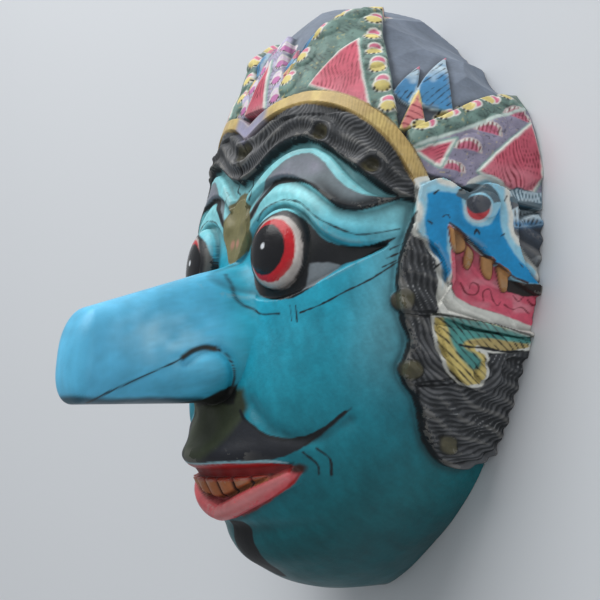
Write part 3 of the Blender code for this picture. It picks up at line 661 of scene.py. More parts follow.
# %% [markdown]
# ## Skull
# Behind the crown the adze has left broad flats with soft ridges between them, under one thin
# coat of slate grey. Each flat is the plane that touches the round head at its middle: it stands
# above the head by distance squared over twice the head's radius.

# %% Skull, carved
FACET_SIZE = 25.0
HEAD_RADIUS = 62.0
SKULL_SINK = 2.4
SKULL_START = (66, 84)  # between these heights the flats begin
SCATTER = (0.15, 0.85)  # where in its square a centre may lie
FLAT_SEED = 7


def nearest_centre(s, t, size, seed):
    """Distance to the nearest of many scattered centres, one in each square of a lattice."""
    places = np.random.default_rng(seed).uniform(*SCATTER, (LATTICE, LATTICE, 2))
    i, j = np.floor(s / size).astype(int), np.floor(t / size).astype(int)
    nearest = np.full(s.shape, FAR)
    for across in (-1, 0, 1):
        for up in (-1, 0, 1):
            place = places[(i + across) % LATTICE, (j + up) % LATTICE]
            aside = (i + across + place[..., 0]) * size - s
            above = (j + up + place[..., 1]) * size - t
            nearest = np.minimum(nearest, np.hypot(aside, above))
    return nearest


flats = nearest_centre(S, T, FACET_SIZE, FLAT_SEED) ** 2 / (2 * HEAD_RADIUS)
relief += (flats - SKULL_SINK) * smooth_step(*SKULL_START, T)
print("flats stand up to", flats.max().round(2), "squares at their edges")

# %% [markdown]
# ## Putting the carving together
# Hair, crown and ornaments overlap, so the highest of the three counts. The relief fades out at
# the chin end and the crown end of the grid, where all rows meet, and then the nose is drawn out
# of the middle: a round foot on the drawing is pulled into a long, drooping, tapering nose.

# %% Nose
NOSE_FOOT = (0.0, -25.0)
NOSE_SPREAD = (18.0, 26.0)
NOSE_ROOT_Z = 78.0  # heights above the rim plane; the YS are those of its top and underside
NOSE_TIP_ROUND = 6.5
NOSE_ROOT_YS = (0.0, -49.5)
NOSE_TIP_YS = (-27.5, -57.5)
NOSE_ROOT_HALF_WIDTH = 14.0
NOSE_TIP_HALF_WIDTH = 11.0
NOSE_FILLET = 6.0  # how much the root spreads onto the cheek, and how fast that ends
NOSE_FILLET_RISE = 3.5
NOSE_SHANK = 0.8  # share of the radius that the straight part takes, the rest is the tip
NOSE_POWER = 3.0  # of its section: 2 is an ellipse, more is squarer
NOSE_RIDGE = 0.28  # how much narrower the ridge is than the underside, at the root
NOSE_TAPER = 0.7  # power of the taper in width: below 1 it narrows more near the root
FILLET_TURN = (-0.6, 0.2)  # sine of the angle round the nose from which the root spreads, and is full
RIDGE_TURN = (-0.2, 1.0)  # the same for the narrower ridge
NOSE_BLEND = (1.2, 0.8)  # shares of the foot's radius where the pull starts, and is full
WING = ((-42, 87), (7, 9))  # seen from the side, as (y, z): a lobe, and the groove round it
WING_HEIGHT = 3.2
WING_GROOVE = [(-39, 99), (-35.5, 95), (-33.5, 91), (-33.5, 87), (-36, 83.5), (-40, 81.5), (-45, 80.5)]
WING_GROOVE_DEPTH = 1.8
WING_GROOVE_HALF_WIDTH = 1.8
WING_BLEND = (0.2, 0.6)  # the wing starts and is full at these shares of the pull
WING_INSET = (2, 9)  # and at these distances from the midline
END_FADE = 0.02  # the relief fades out over this share of the midline, at chin and crown


def nose(points, s, t):
    """Draws the points inside the nose's foot out into a drooping, rounded, tapering nose.

    The share of the foot's radius becomes the height: a straight shank, then a quarter circle for
    the tip. The angle round the foot runs round a section |cos|^power + |sin|^power = 1.
    """
    across = (s - NOSE_FOOT[0]) / NOSE_SPREAD[0]
    up = (t - NOSE_FOOT[1]) / NOSE_SPREAD[1]
    radius = np.hypot(across, up)
    angle = np.arctan2(up, across)
    inner = np.clip(1 - radius, 0, 1)
    shank = np.clip(inner / NOSE_SHANK, 0, 1)
    cap = np.clip((inner - NOSE_SHANK) / (1 - NOSE_SHANK), 0, 1) * np.pi / 2
    tip_z = SQUARES_DEEP + NOSE_LENGTH / UNIT[2]
    z = NOSE_ROOT_Z + (tip_z - NOSE_TIP_ROUND - NOSE_ROOT_Z) * shank + NOSE_TIP_ROUND * np.sin(cap)
    along = (z - NOSE_ROOT_Z) / (tip_z - NOSE_ROOT_Z)
    top = NOSE_ROOT_YS[0] + (NOSE_TIP_YS[0] - NOSE_ROOT_YS[0]) * along
    under = NOSE_ROOT_YS[1] + (NOSE_TIP_YS[1] - NOSE_ROOT_YS[1]) * along
    half_width = NOSE_ROOT_HALF_WIDTH + (NOSE_TIP_HALF_WIDTH - NOSE_ROOT_HALF_WIDTH) * along ** NOSE_TAPER
    aside, upward = np.cos(angle), np.sin(angle)
    squareness = (np.abs(aside) ** NOSE_POWER + np.abs(upward) ** NOSE_POWER) ** (-1 / NOSE_POWER)
    fillet = NOSE_FILLET * np.exp((NOSE_ROOT_Z - z) / NOSE_FILLET_RISE) * smooth_step(*FILLET_TURN, upward)
    half_width = half_width + fillet
    narrow = 1 - NOSE_RIDGE * smooth_step(*RIDGE_TURN, upward) * (1 - along)
    x = half_width * aside * squareness * np.cos(cap) * narrow
    y = (top + under) / 2 + (top - under) / 2 * upward * squareness * np.cos(cap)
    blend = smooth_step(*NOSE_BLEND, radius)
    result = points + (np.stack([x, y, z], axis=-1) - points) * blend[..., None]
    y, z = result[..., 1], result[..., 2]
    groove = np.exp(-(to_line(y, z, smooth_curve(WING_GROOVE, 4)) / WING_GROOVE_HALF_WIDTH) ** 2)
    side = WING_HEIGHT * hill(y, z, *WING) - WING_GROOVE_DEPTH * groove
    side = side * smooth_step(*WING_BLEND, blend) * smooth_step(*WING_INSET, np.abs(result[..., 0]))
    result[..., 0] += np.sign(s) * side
    return result


relief += np.maximum(np.maximum(relief_hair, relief_crown), relief_ear)
fade = smooth_step(0, END_FADE, share) * smooth_step(1, 1 - END_FADE, share)
away = outward(smooth_points)
away[:, 0, 0] = 0
away /= np.linalg.norm(away, axis=-1, keepdims=True)
half = nose(smooth_points + away * (relief * fade)[..., None], S, T)
half[..., 2] = np.maximum(half[..., 2], 0)
half[:, -1, 2] = 0
half[:, 0, 0] = 0
print("half mask reaches", half.max(axis=(0, 1)).round(2), "squares")

# %% [markdown]
# ## Laying on paint
# The drawing is stretched where the nose was drawn out, so a painted line is measured on the
# carved surface itself: its points are looked up on the surface and the distance to them is taken
# in space. A brush line then has one width everywhere. Colours are typed as a colour picker shows
# them. Each coat covers what lies under it, as on the real mask. A coat ends where its distance is
# zero, so adding to the distance draws its outline in by so much, and taking away lets it out.

# %% Laying on paint
WOBBLE = 0.16  # how unsteady the painter's hand is
PAINT_EDGE = 0.5  # width over which a coat ends
STEP_ON_CURVE = 0.9  # a painted line is measured between points this far apart
BROAD_BRUSH = 1.1  # widths of strokes
ROUND_BRUSH = 0.9
LINER = 0.6
FINE_LINER = 0.5
HAIR_LINER = 0.45
wobble = WOBBLE * (cloud(S, T, 2.3, 1) + 0.7 * cloud(S, T, 1.0, 2))


def tint(red, green, blue):
    """Linear colour from the 0 to 255 numbers of a colour picker: ((c / 255 + 0.055) / 1.055) ** 2.4."""
    return ((np.array([red, green, blue]) / 255 + 0.055) / 1.055) ** 2.4


INK = tint(24, 26, 30)
WHITE = tint(226, 226, 218)
MATT = 0.56
SATIN = 0.38
GLOSSY = 0.2
colour = np.ones(S.shape + (3,))
rough = np.full(S.shape, SATIN)


def lay(distance, paint, roughness=None, edge=PAINT_EDGE, cover=1.0):
    """Lays paint where distance < 0: colour += (paint - colour) * share, rising over the edge."""
    amount = cover * smooth_step(edge / 2, -edge / 2, distance + wobble)
    colour[:] += (paint - colour) * amount[..., None]
    if roughness is not None:
        rough[:] += (roughness - rough) * amount


# %% Distances on the surface
def on_surface(curve):
    """Points of the carved surface under a curve of the drawing, by blending its four neighbours."""
    lengths = np.concatenate([[0], np.cumsum(np.linalg.norm(np.diff(curve, axis=0), axis=1))])
    count = max(int(lengths[-1] / STEP_ON_CURVE), 2)
    even = np.linspace(0, lengths[-1], count + 1)
    s = np.interp(even, lengths, curve[:, 0])
    t = np.interp(even, lengths, curve[:, 1])
    row = np.clip(np.searchsorted(row_t, t) - 1, 0, len(row_t) - 2)
    share_up = np.clip((t - row_t[row]) / (row_t[row + 1] - row_t[row]), 0, 1)
    found = np.empty((len(s), 3))
    for k, (i, f) in enumerate(zip(row, share_up)):
        for axis in range(3):
            low = np.interp(abs(s[k]), S[i], half[i, :, axis])
            high = np.interp(abs(s[k]), S[i + 1], half[i + 1, :, axis])
            found[k, axis] = low + (high - low) * f
    found[:, 0] *= np.where(s < 0, -1, 1)
    return found


def to_curve(places, curve):
    """Distance in space from many places to a curve given by its points."""
    nearest = np.full(len(places), FAR)
    for a, b in zip(curve[:-1], curve[1:]):
        along = b - a
        u = np.clip((places - a) @ along / max(along @ along, TINY), 0, 1)
        nearest = np.minimum(nearest, np.linalg.norm(places - a - u[:, None] * along, axis=1))
    return nearest


def painted(curve, filled):
    """Distance on the surface to a curve of the drawing; inside a filled one it is negative."""
    distance = np.full(S.shape, FAR)
    close = close_to(S, T, curve, MARGIN)
    distance[close] = to_curve(half[close], on_surface(curve))
    if filled:
        distance = np.where(to_outline(S, T, curve) < 0, -distance, distance)
    return distance


def closed(points):
    """A closed polyline from its corners."""
    return np.array(points + points[:1], float)


# %% Shapes to paint
def corners(points):
    """Distance to a painted outline with straight sides and sharp corners."""
    return painted(closed(points), True)


def area(points, pieces=4):
    """Distance to a painted outline with rounded sides."""
    return painted(smooth_curve(points + points[:1], pieces), True)


def across_middle(points):
    """A whole outline from its left half, given from one end on the midline to the other."""
    return points + [(-s, t) for s, t in points[::-1] if s > 0]


def stroke(points, width, pieces=5):
    """Distance to a brush stroke of one width along a smooth open line."""
    return painted(smooth_curve(points, pieces), False) - width / 2


HATCH_BEND = 7.0  # length over which hatched strokes bend
HATCH_SEED = 5


def hatch(angle, pitch, width, bend=0.5):
    """Distance to parallel strokes: |phase - 0.5| of the distance across them, minus half a stroke."""
    across = S * np.cos(math.radians(angle)) + T * np.sin(math.radians(angle))
    phase = (across + bend * cloud(S, T, HATCH_BEND, HATCH_SEED)) / pitch
    return np.abs(phase - np.floor(phase) - 0.5) * pitch - width / 2


def both(first, second):
    """Distance to what two areas share."""
    return np.maximum(first, second)


def disc(centre, radii):
    """Rough distance to an ellipse: (share of its radius - 1) * its smaller radius."""
    reach = np.hypot((S - centre[0]) / radii[0], (T - centre[1]) / radii[1])
    return (reach - 1) * min(radii)


# %% [markdown]
# ## Skin
# The face is turquoise. Part of its tone here is painted light and shade: the nose, the forehead
# and the side of the face are paler, partly as their own paint and partly as painted light, and the
# jaw is darker and nearly green, partly as its own paint and partly as painted shade. A painted image
# could do this, but it would blur close by. Instead a few broad tones are mixed by where a point
# lies, then streaked with noise that is stretched along the brush.

# %% Skin
# The pale tones of the nose, forehead and side are partly paint and partly painted light.
SKIN_NOSE_PALE_AND_LIT = tint(102, 200, 244)
SKIN_PAINTED_HIGHLIGHT = tint(176, 230, 252)
SKIN_SIDE_PALE_AND_LIT = tint(120, 184, 196)
SKIN_FOREHEAD_PALE_AND_LIT = tint(150, 220, 224)
SKIN_MIDDLE = tint(40, 168, 196)
SKIN_LOW_DARK_AND_SHADED = tint(10, 104, 112)
CHIN_PAINTED_SHADE = 0.40  # how much darker the underside of the chin is
SKIN_RISE = (-112, -8)  # from the dark jaw to the middle tone, tilted towards the side
SKIN_TILT = 0.25
NOSE_PALE_AND_LIT_AREA = ((0, -22), (20, 26))
NOSE_STARTS = (78, 92)  # heights above the rim plane
TEMPLE = (46, 66)
TEMPLE_RISE = (-60, -20)
NOSE_RIDGE_HIGHLIGHT = ((108, -32), (14, 8))  # on the ridge of the nose, as (z, y)


def washed(paint, share):
    """A thin coat without an edge: colour += (paint - colour) * share."""
    colour[:] += (paint - colour) * share[..., None]


# Dark teal at the jaw, rising to the middle tone: partly the paint's own tone, partly painted shade.
colour[:] = SKIN_LOW_DARK_AND_SHADED
washed(SKIN_MIDDLE, smooth_step(*SKIN_RISE, T - SKIN_TILT * S))
washed(SKIN_FOREHEAD_PALE_AND_LIT, 0.8 * smooth_step(0, 20, T))
washed(SKIN_NOSE_PALE_AND_LIT, 0.9 * (hill(S, T, *NOSE_PALE_AND_LIT_AREA) * smooth_step(*NOSE_STARTS, half[..., 2])))
washed(SKIN_SIDE_PALE_AND_LIT, 0.55 * smooth_step(*TEMPLE, S) * smooth_step(*TEMPLE_RISE, T))
# A painted highlight on the ridge of the nose.
painted_highlight = hill(half[..., 2], half[..., 1], *NOSE_RIDGE_HIGHLIGHT) * (0.45 + 0.35 * cloud(S, T * 0.5, 1.2, 44))
washed(SKIN_PAINTED_HIGHLIGHT, np.clip(painted_highlight, 0, 1))
# Painted shade: the chin and its underside are darkened towards the bottom.
colour[:] *= (1 - CHIN_PAINTED_SHADE * smooth_step(-84, -112, T))[..., None]
brushed_skin = cloud(S, T * 0.35, 2.6, 41) + 0.7 * cloud(S + 0.5 * T, T * 0.3, 1.3, 42)
colour[:] *= (1 + 0.09 * brushed_skin + 0.12 * cloud(S, T, 13.0, 43))[..., None]
print("skin laid on", S.size, "points")

# %% [markdown]
# ## Paint of the mouth
# Red upper lip, pink lower lip, a dark gap with stained teeth, and a black moustache over dark olive
# under the nose. The dark of the gap and of the mouth's corners is paint and also painted shade of
# the open mouth, and the olive under the nose is darkened as painted shade of the nose. Separate
# meshes for lips and moustache would leave seams on carved wood, so they are coats on the one
# surface, from the largest to the finest line.

# %% Mouth and cheeks, painted
UPPER_LIP_PAINT = [(0, -69.2), (12, -69.0), (24, -69.7), (32, -71.5), (34, -73.0), (30, -74.2),
                   (16, -74.8), (0, -74.8)]
LOWER_LIP_PAINT = [(0, -81.4), (7.8, -80.1), (15.6, -77.7), (23.3, -75.4), (31.4, -73.1), (34, -73.0),
                   (31.1, -76.6), (26.5, -79.4), (20, -82.6), (12, -85.8), (5, -88), (0, -88.6)]
LOWER_LIP_EDGE = [(-6, -87.6), (0, -88.8), (6, -87.6), (12, -85.8), (20, -82.6), (26.5, -79.4),
                  (31.1, -76.6), (34, -73.4)]
MOUSTACHE = [(0, -54), (8, -54), (14.8, -54.5), (20.2, -57.3), (24.4, -60.6), (30.5, -62.4), (37, -62),
             (43.6, -59.2), (50.7, -54.1), (47, -58), (41.8, -62), (35, -66.1), (30.1, -68),
             (25.2, -68.9), (16.5, -69), (8, -68.9), (0, -68.9)]
MOUSTACHE_EDGE = [(14.4, -52.5), (16.5, -55.2), (20.2, -57.6), (24.4, -60.8), (30.5, -62.6),
                  (37, -62.2), (43.6, -59.4), (50.7, -54.3)]
MOUSTACHE_TAIL = [(34, -66.2), (41, -61), (47, -57), (53, -52.8), (48, -57.6), (42, -62.4)]
UNDER_NOSE = [(0, -44), (10, -44), (16.4, -45.5), (17.2, -52), (13.8, -58), (9.4, -64), (4, -67.8),
              (0, -67.8)]
LIP_LIGHT = [(0, -84.6), (8, -82.9), (15, -80.6), (23, -77.8), (29, -75.4)]
PALE_LIP_LINE = [(-6, -68.9), (0, -68.9), (12, -68.7), (24, -69.2), (30, -70.4)]
MOUTH_TICKS = [[(35.7, -67.1), (39.6, -71.7), (39.3, -75.4)], [(40.1, -66.1), (44, -70.3), (43.3, -75.9)]]
CHIN_STRIPE = [(0, -90), (4.6, -90.6), (6.0, -94), (6.2, -102), (5.2, -111), (3.0, -118), (0, -119)]
LIP_RED = tint(176, 28, 30)
LIP_PINK = tint(212, 92, 98)
TOOTH_STAIN = tint(176, 106, 64)
MOUTH_DARK_AND_SHADE = tint(60, 24, 18)
SLATE = tint(36, 38, 45)
OLIVE_AND_NOSE_SHADE = tint(62, 70, 50)
PALE_BLUE = tint(150, 196, 208)
GUM_RED = tint(176, 70, 56)
LIP_GLINT = tint(224, 140, 144)
GUM_TOP = -73.9
TOOTH_GUM = -74.9  # where the teeth leave the gum
TOOTH_ARCH = 0.7  # and how much higher that is in the middle of a tooth
MOUTH_CORNER = ((33.2, -72.6), (2.6, 1.5))

lay(corners(across_middle(MOUSTACHE)), SLATE, MATT)
# Dark olive under the nose: paint, darkened further as painted shade of the nose.
lay(corners(across_middle(UNDER_NOSE)), OLIVE_AND_NOSE_SHADE, MATT, edge=3.4)
lay(stroke(MOUSTACHE_EDGE, BROAD_BRUSH), INK)
lay(corners(MOUSTACHE_TAIL), INK, edge=1.4)
lay(corners(across_middle(UPPER_LIP_PAINT)), LIP_RED)
mouth_opening = to_outline(S, T, MOUTH)
# The dark inside of the open mouth: paint and painted shade.
lay(both(mouth_opening, T - GUM_TOP), MOUTH_DARK_AND_SHADE)
tooth_top = np.abs(np.cos(np.pi * S / TOOTH_PITCH))
tooth_line = T - TOOTH_GUM - TOOTH_ARCH * tooth_top
teeth_apart = smooth_step(0.10, 0.40, tooth_top)
lay(both(mouth_opening + 0.1, tooth_line), TOOTH_STAIN, SATIN, edge=0.8, cover=teeth_apart)
lay(both(mouth_opening, np.abs(tooth_line) - 0.5), GUM_RED, cover=0.7)
lay(corners(across_middle(LOWER_LIP_PAINT)), LIP_PINK)
lay(stroke(LOWER_LIP_EDGE, BROAD_BRUSH), LIP_RED, edge=1.0)
# A painted highlight along the crest of the lower lip.
lay(stroke(LIP_LIGHT, 1.6), LIP_GLINT, edge=2.2, cover=0.55)
lay(stroke(PALE_LIP_LINE, ROUND_BRUSH), PALE_BLUE)
# Dark in the corner of the mouth: paint and painted shade.
lay(disc(*MOUTH_CORNER), MOUTH_DARK_AND_SHADE, edge=1.6)
for tick in MOUTH_TICKS:
    lay(stroke(tick, LINER), INK)
lay(corners(across_middle(CHIN_STRIPE)), INK, MATT, edge=0.9)
print("mouth painted")

# %% [markdown]
# ## Paint of the eyes and brows
# Rings of white, red and black make the eye, glossier than the skin. Round shapes are laid as
# ellipses, which need a centre and two radii, and lids and brows as brush strokes along lines.

# %% Eyes and brows, painted
EYE_BLACK = [(12.6, -3.5), (13.4, 4), (16.8, 10), (22.2, 13.2), (27.1, 15.1), (31.5, 13.7), (36.8, 9.5),
             (41.8, 4.6), (48.4, 2.8), (56.4, 3.2), (65, 6.2), (57, 0.2), (51.5, -2.4), (46, -5),
             (38, -12.6), (30.6, -15.6), (20.5, -14.2), (15.2, -10.6)]
EYE_CORNER = [(37.0, -3.4), (43, -3.0), (47.6, -3.9), (44, -7.2), (39.8, -11.2), (35.6, -12.9),
              (36.6, -8)]
LID_LINE = [(12, 14), (15.8, 17.4), (22.1, 19.3), (26.8, 19.3), (32.6, 17.4), (39.2, 11.9), (46.2, 8.2),
            (52.2, 6.3), (58.8, 7.2), (65.6, 9.1)]
UNDER_LINE = [(9.4, -6.4), (12.4, -10), (15.7, -16), (19.6, -19.7), (27.6, -20.2)]
TEMPLE_LINE = [(35.5, -20.3), (42.2, -17.8), (49.9, -13.2), (57.3, -9), (65.7, -2.5)]
TICKS = [[(31.8, -17.8), (32.6, -23)], [(33.8, -17.8), (34.6, -23.4)]]
TEMPLE_TICKS = [[(62, -1.5), (66.5, 1.0)], [(61, -4.5), (66, -1.6)], [(63, 1.8), (67, 4.2)]]
BROW_BODY = [(7.5, 16), (10.5, 20.5), (14.1, 26.7), (19.7, 32.3), (25.3, 35.5), (32, 36), (37.3, 33.2),
             (41.9, 28.1), (47.8, 22.6), (54.5, 20.0), (61.8, 20.2), (68, 21), (61.8, 18.4),
             (55.6, 15.8), (50.5, 14.6), (45.5, 15.6), (42.2, 18.4), (36, 23.5), (27.4, 26.7),
             (19.5, 26.7), (15.2, 22.1), (10, 15)]
BROW_UNDERSIDE = [(6.5, 11.5), (10, 17), (15.2, 22.6), (19.5, 26.8), (27.4, 26.8), (36, 23.6),
                  (42.2, 18.5), (45.5, 15.9), (50.5, 14.8), (55.6, 16.0), (61.8, 18.8), (67, 20.8)]
SQUIGGLES = [[(3, 26.5), (5.2, 28.0), (4.6, 30), (6.6, 31.5)], [(7, 22), (8.5, 24.5), (8.0, 26.5),
             (9.8, 28)]]
BROW_SHEEN = ((27, 31.5), (12, 5))
BROW_HEAVY = ((18, 25), (11, 9))  # where its underside is painted thickest
MARK_SPOT = ((1.6, 7.2), (1.2, 1.6))
GLINT = ((22.6, 2.2), (0.9, 1.2))
WHITE_RING = ((26.0, 0.5), (9.5, 12.4))
RED_RING = ((25.1, 0.9), (8.6, 10.8))
PUPIL = ((23.4, 1.2), (7.3, 8.7))
BROW_MARK_LINE = [(0, 26.4), (2.6, 25.4), (5.4, 22.2), (7.8, 17.8), (8.8, 13), (7.8, 7.6), (5.0, 3.4),
                  (2.2, 1.0), (0, 0.4)]
EYE_WHITE = tint(214, 206, 200)
EYE_RED = tint(196, 34, 44)
PUPIL_BLACK = tint(24, 24, 28)
BROW_GREY = tint(112, 124, 130)
BROW_LILAC = tint(140, 134, 154)
OLIVE_GOLD = tint(128, 122, 84)
CORNER_GREY = tint(128, 136, 142)
EYE_SHADE = tint(150, 140, 136)
GLINT_WHITE = tint(226, 228, 232)
SPOT_BROWN = tint(176, 130, 108)

brow = area(BROW_BODY)
brow_under = stroke(BROW_UNDERSIDE, 0.0)
lay(brow, BROW_GREY, MATT)
# Lilac paint over the grey, lighter in the middle of the brow as a painted sheen.
lay(both(brow + 1.5, disc(*BROW_SHEEN)), BROW_LILAC, edge=4.0, cover=0.55 + 0.3 * cloud(S, T, 4.0, 8))
lay(both(brow, brow_under - 3.4), INK, edge=4.6, cover=smooth_step(30, 46, S))
lay(brow_under - 0.65 - 0.6 * hill(S, T, *BROW_HEAVY), INK, MATT)
lay(stroke(LID_LINE, FINE_LINER), INK, edge=0.6)
lay(stroke(UNDER_LINE[:3], ROUND_BRUSH), INK, edge=1.3, cover=0.8)
lay(stroke(UNDER_LINE, LINER), INK, edge=0.8)
lay(stroke(TEMPLE_LINE, FINE_LINER), INK)
for tick in TICKS + TEMPLE_TICKS:
    lay(stroke(tick, HAIR_LINER), INK)
lay(area(EYE_BLACK), INK, SATIN)
lay(corners(EYE_CORNER), CORNER_GREY, SATIN, edge=0.9)
white_ring = disc(*WHITE_RING)
lay(white_ring, EYE_WHITE, GLOSSY)
# A painted shade round the edge of the white, where the ball turns away.
lay(both(white_ring, -white_ring - 1.0), EYE_SHADE, edge=1.2, cover=0.5)
lay(disc(*RED_RING), EYE_RED, GLOSSY)
lay(disc(*PUPIL), PUPIL_BLACK, GLOSSY)
# A painted highlight on the pupil.
lay(disc(*GLINT), GLINT_WHITE, GLOSSY)
brow_mark = area(across_middle(BROW_MARK_LINE))
lay(brow_mark, OLIVE_GOLD, SATIN)
lay(both(brow_mark, -brow_mark - 1.0), OLIVE_GOLD * 0.75, edge=2.2)
lay(disc(*MARK_SPOT), SPOT_BROWN, edge=1.0)
for squiggle in SQUIGGLES:
    lay(stroke(squiggle, HAIR_LINER), INK)
print("eyes and brows painted")

# %% [markdown]
# ## Paint of the hair
# The hair is black, rubbed grey where the locks stand highest. The numbers that carved the strands
# also choose between black, grey and ink, so the paint and the carving agree everywhere.

# %% Hair and band, painted
HAIR_BLACK = tint(64, 66, 69)
HAIR_RUBBED = tint(116, 117, 120)
HAIR_FLECK = tint(176, 178, 180)
KNOB_OLIVE = tint(84, 80, 60)
OCHRE = tint(200, 172, 110)
OCHRE_DARK = tint(132, 104, 56)
HAIR_PATCHES = 7.0  # size of the patches where it is rubbed
HAIR_OUTLINE = 0.6  # half the width of the ink line round it

rubbed_patches = cloud(S, T, HAIR_PATCHES, 14) + 0.8 * cloud(S, T, 1.6, 15)


def locks_painted(hair, cut, bare, patchiness, flecks, let_out):
    """Black, rubbed grey on the crests of the cuts, ink at their bottoms and an ink line all round."""
    lay(hair, HAIR_BLACK, MATT)
    worn = smooth_step(0.5, bare, cut + patchiness * rubbed_patches)
    lay(hair + 0.9, HAIR_RUBBED, edge=1.0, cover=0.6 * worn)
    flecked = flecks * smooth_step(0.2, 0.0, cut) * smooth_step(0.5, 0.9, rubbed_patches)
    lay(hair + 1.5, HAIR_FLECK, edge=0.6, cover=flecked)
    lay(hair + 0.9, INK, edge=1.0, cover=0.55 * smooth_step(0.55, 0.95, cut))
    lay(np.abs(hair - let_out) - HAIR_OUTLINE, INK, MATT)


locks_painted(fringe, fringe_cut, bare=0.05, patchiness=0.5, flecks=0.0, let_out=0.1)
locks_painted(side_hair, side_cut, bare=0.04, patchiness=0.4, flecks=0.7, let_out=0.0)
for outline in tier_edges:
    lay(both(np.abs(outline - 0.1) - 0.5, side_hair), INK)
for centres, size in ((CURL_EYES, 2.5), (SIDE_CURL_EYES, 3.3)):
    for centre in centres:
        knob = disc(centre, (size, size))
        lay(knob - 0.6, INK, edge=1.0)
        lay(knob, KNOB_OLIVE, SATIN, edge=1.6)
print("hair painted")

# %% [markdown]
# ## Paint of the crown
# Every leaf has a border of folded flowers round a red field. One flower is a small function and a
# row of flowers is a loop, as the painter repeats one set of brush strokes along the border.

# %% Crown, painted
LEAF_GREEN = tint(104, 130, 122)
LEAF_PALE = tint(150, 186, 176)
CREAM = tint(222, 204, 128)
PETAL_PINK = tint(216, 120, 146)
FIELD_RED = tint(204, 82, 104)
FIELD_PINK = tint(224, 146, 158)
HATCH_RED = tint(126, 30, 48)
LILAC = tint(146, 140, 162)
LILAC_FOOT = tint(198, 122, 176)
LILAC_CAP = tint(226, 206, 224)
WEDGE_PINK = tint(214, 128, 128)
EDGE_PALE = tint(206, 222, 214)
GOLD_LIGHT = tint(214, 190, 120)
BAND_BLUE = tint(150, 152, 186)
BAND_BLUE_END = 9.0  # the band is bluish up to here
FLECK_SHARE = 0.55  # how strongly ink and cream fleck the leaves
FLOWER_DOTS = 5
DOT_RADII = (0.42, 0.5)
PLUME_BLUE = tint(70, 134, 180)
PLUME_PALE = tint(196, 216, 226)
SKULL_GREY = tint(118, 128, 143)


# %% Flowers and fans
def flower(centre, away, size, foot=CREAM, cap=PETAL_PINK):
    """A folded flower: a cream half, black dots along its foot, and a pink half beyond, edged white."""
    away = np.array(away, float) / np.hypot(*away)
    beyond = (centre[0] + away[0] * size * 0.95, centre[1] + away[1] * size * 0.95)
    pink = disc(beyond, (size * 0.8, size * 0.75))
    cream = disc(centre, (size, size * 0.78))
    lay(pink - 0.35, WHITE)
    lay(pink + 0.25, cap)
    lay(cream - 0.3, WHITE)
    lay(cream + 0.1, foot)
    for turn_by in np.linspace(0.08, 0.92, FLOWER_DOTS) * np.pi:
        down = size * 0.74 * np.sin(turn_by)
        beside = size * 0.94 * np.cos(turn_by)
        dot = (centre[0] - away[0] * down - away[1] * beside,
               centre[1] - away[1] * down + away[0] * beside)
        lay(disc(dot, DOT_RADII), INK)


def fan(centre, size):
    """A half disc with a flat foot: white tips, and red and pink strokes that stand upright."""
    reach = np.hypot(S - centre[0], (T - centre[1]) * 1.15) - size
    shape = both(reach, centre[1] - T)
    lay(shape, PETAL_PINK)
    lay(both(shape, -reach - 1.5), WHITE, edge=1.0)
    lay(both(shape + 0.3, hatch(2, 1.5, 0.6)), HATCH_RED, cover=0.9)


def lilac_flower(centre, away, size):
    """The centre leaf's flower: a purple-pink foot under a pale cap."""
    flower(centre, away, size, LILAC_FOOT, LILAC_CAP)


def bordered_field(outline, angle, pitch):
    """A field with a white border: pink at its foot, red above, and fine dark red strokes."""
    field = corners(outline)
    low = min(t for s, t in outline)
    high = max(t for s, t in outline)
    lay(field - 0.6, LEAF_PALE, edge=0.9)
    lay(field, WHITE)
    lay(field + 0.9, FIELD_PINK, edge=0.8)
    reddened = smooth_step(low, low + 0.5 * (high - low), T + 4 * cloud(S, T, 4.0, 19))
    lay(field + 1.1, FIELD_RED, edge=1.4, cover=0.3 + 0.6 * reddened)
    patchy = smooth_step(-0.9, 0.1, cloud(S, T, 4.0, 17))
    lay(both(field + 1.4, hatch(angle, pitch, 0.32, 1.4)), HATCH_RED, cover=patchy)


def stamped(row, away, size, dab):
    """The same flower or fan in a row, from its first centre to its last."""
    first, last, count = row
    for u in np.linspace(0, 1, count):
        dab((first[0] + (last[0] - first[0]) * u, first[1] + (last[1] - first[1]) * u), away, size)


# %% Skull, plumes and wedges, painted
OUTER_ROW = ((55, 53), (27, 111), 8)
INNER_ROW = ((14.5, 66), (26, 103), 5)
EAR_ROW = ((67, 47.5), (93, 71), 5)
CENTRE_ROW = ((10, 60), (3.5, 84), 4)
EAR_LILAC = [(66, 37.5), (74, 43), (83, 49.5), (94, 59), (104, 68), (125, 60), (125, 20), (66, 20)]
EAR_LILAC_EDGE = [(66.2, 38.2), (73.9, 43.6), (82.9, 50), (92, 58), (102, 67)]
EAR_WEDGE = [(66.4, 37.4), (79.8, 44.8), (76.0, 31.6)]
EAR_FIELD_EDGE = [(88.5, 33), (97, 46.5), (106, 61), (111.5, 49), (115.5, 38), (112, 30), (105, 27),
                  (96, 29.5)]
EAR_FANS = [((80, 31.5), 4.6), ((84, 40.5), 5.2), ((90, 49.5), 5.4), ((100, 61), 6.4)]
SKULL_FOOT = 58  # the slate grey starts here, and lower towards the side
LEAVES = (CENTRE_LEAF, SIDE_LEAF, EAR_LEAF)
above = np.where(above_band, -FAR, FAR)

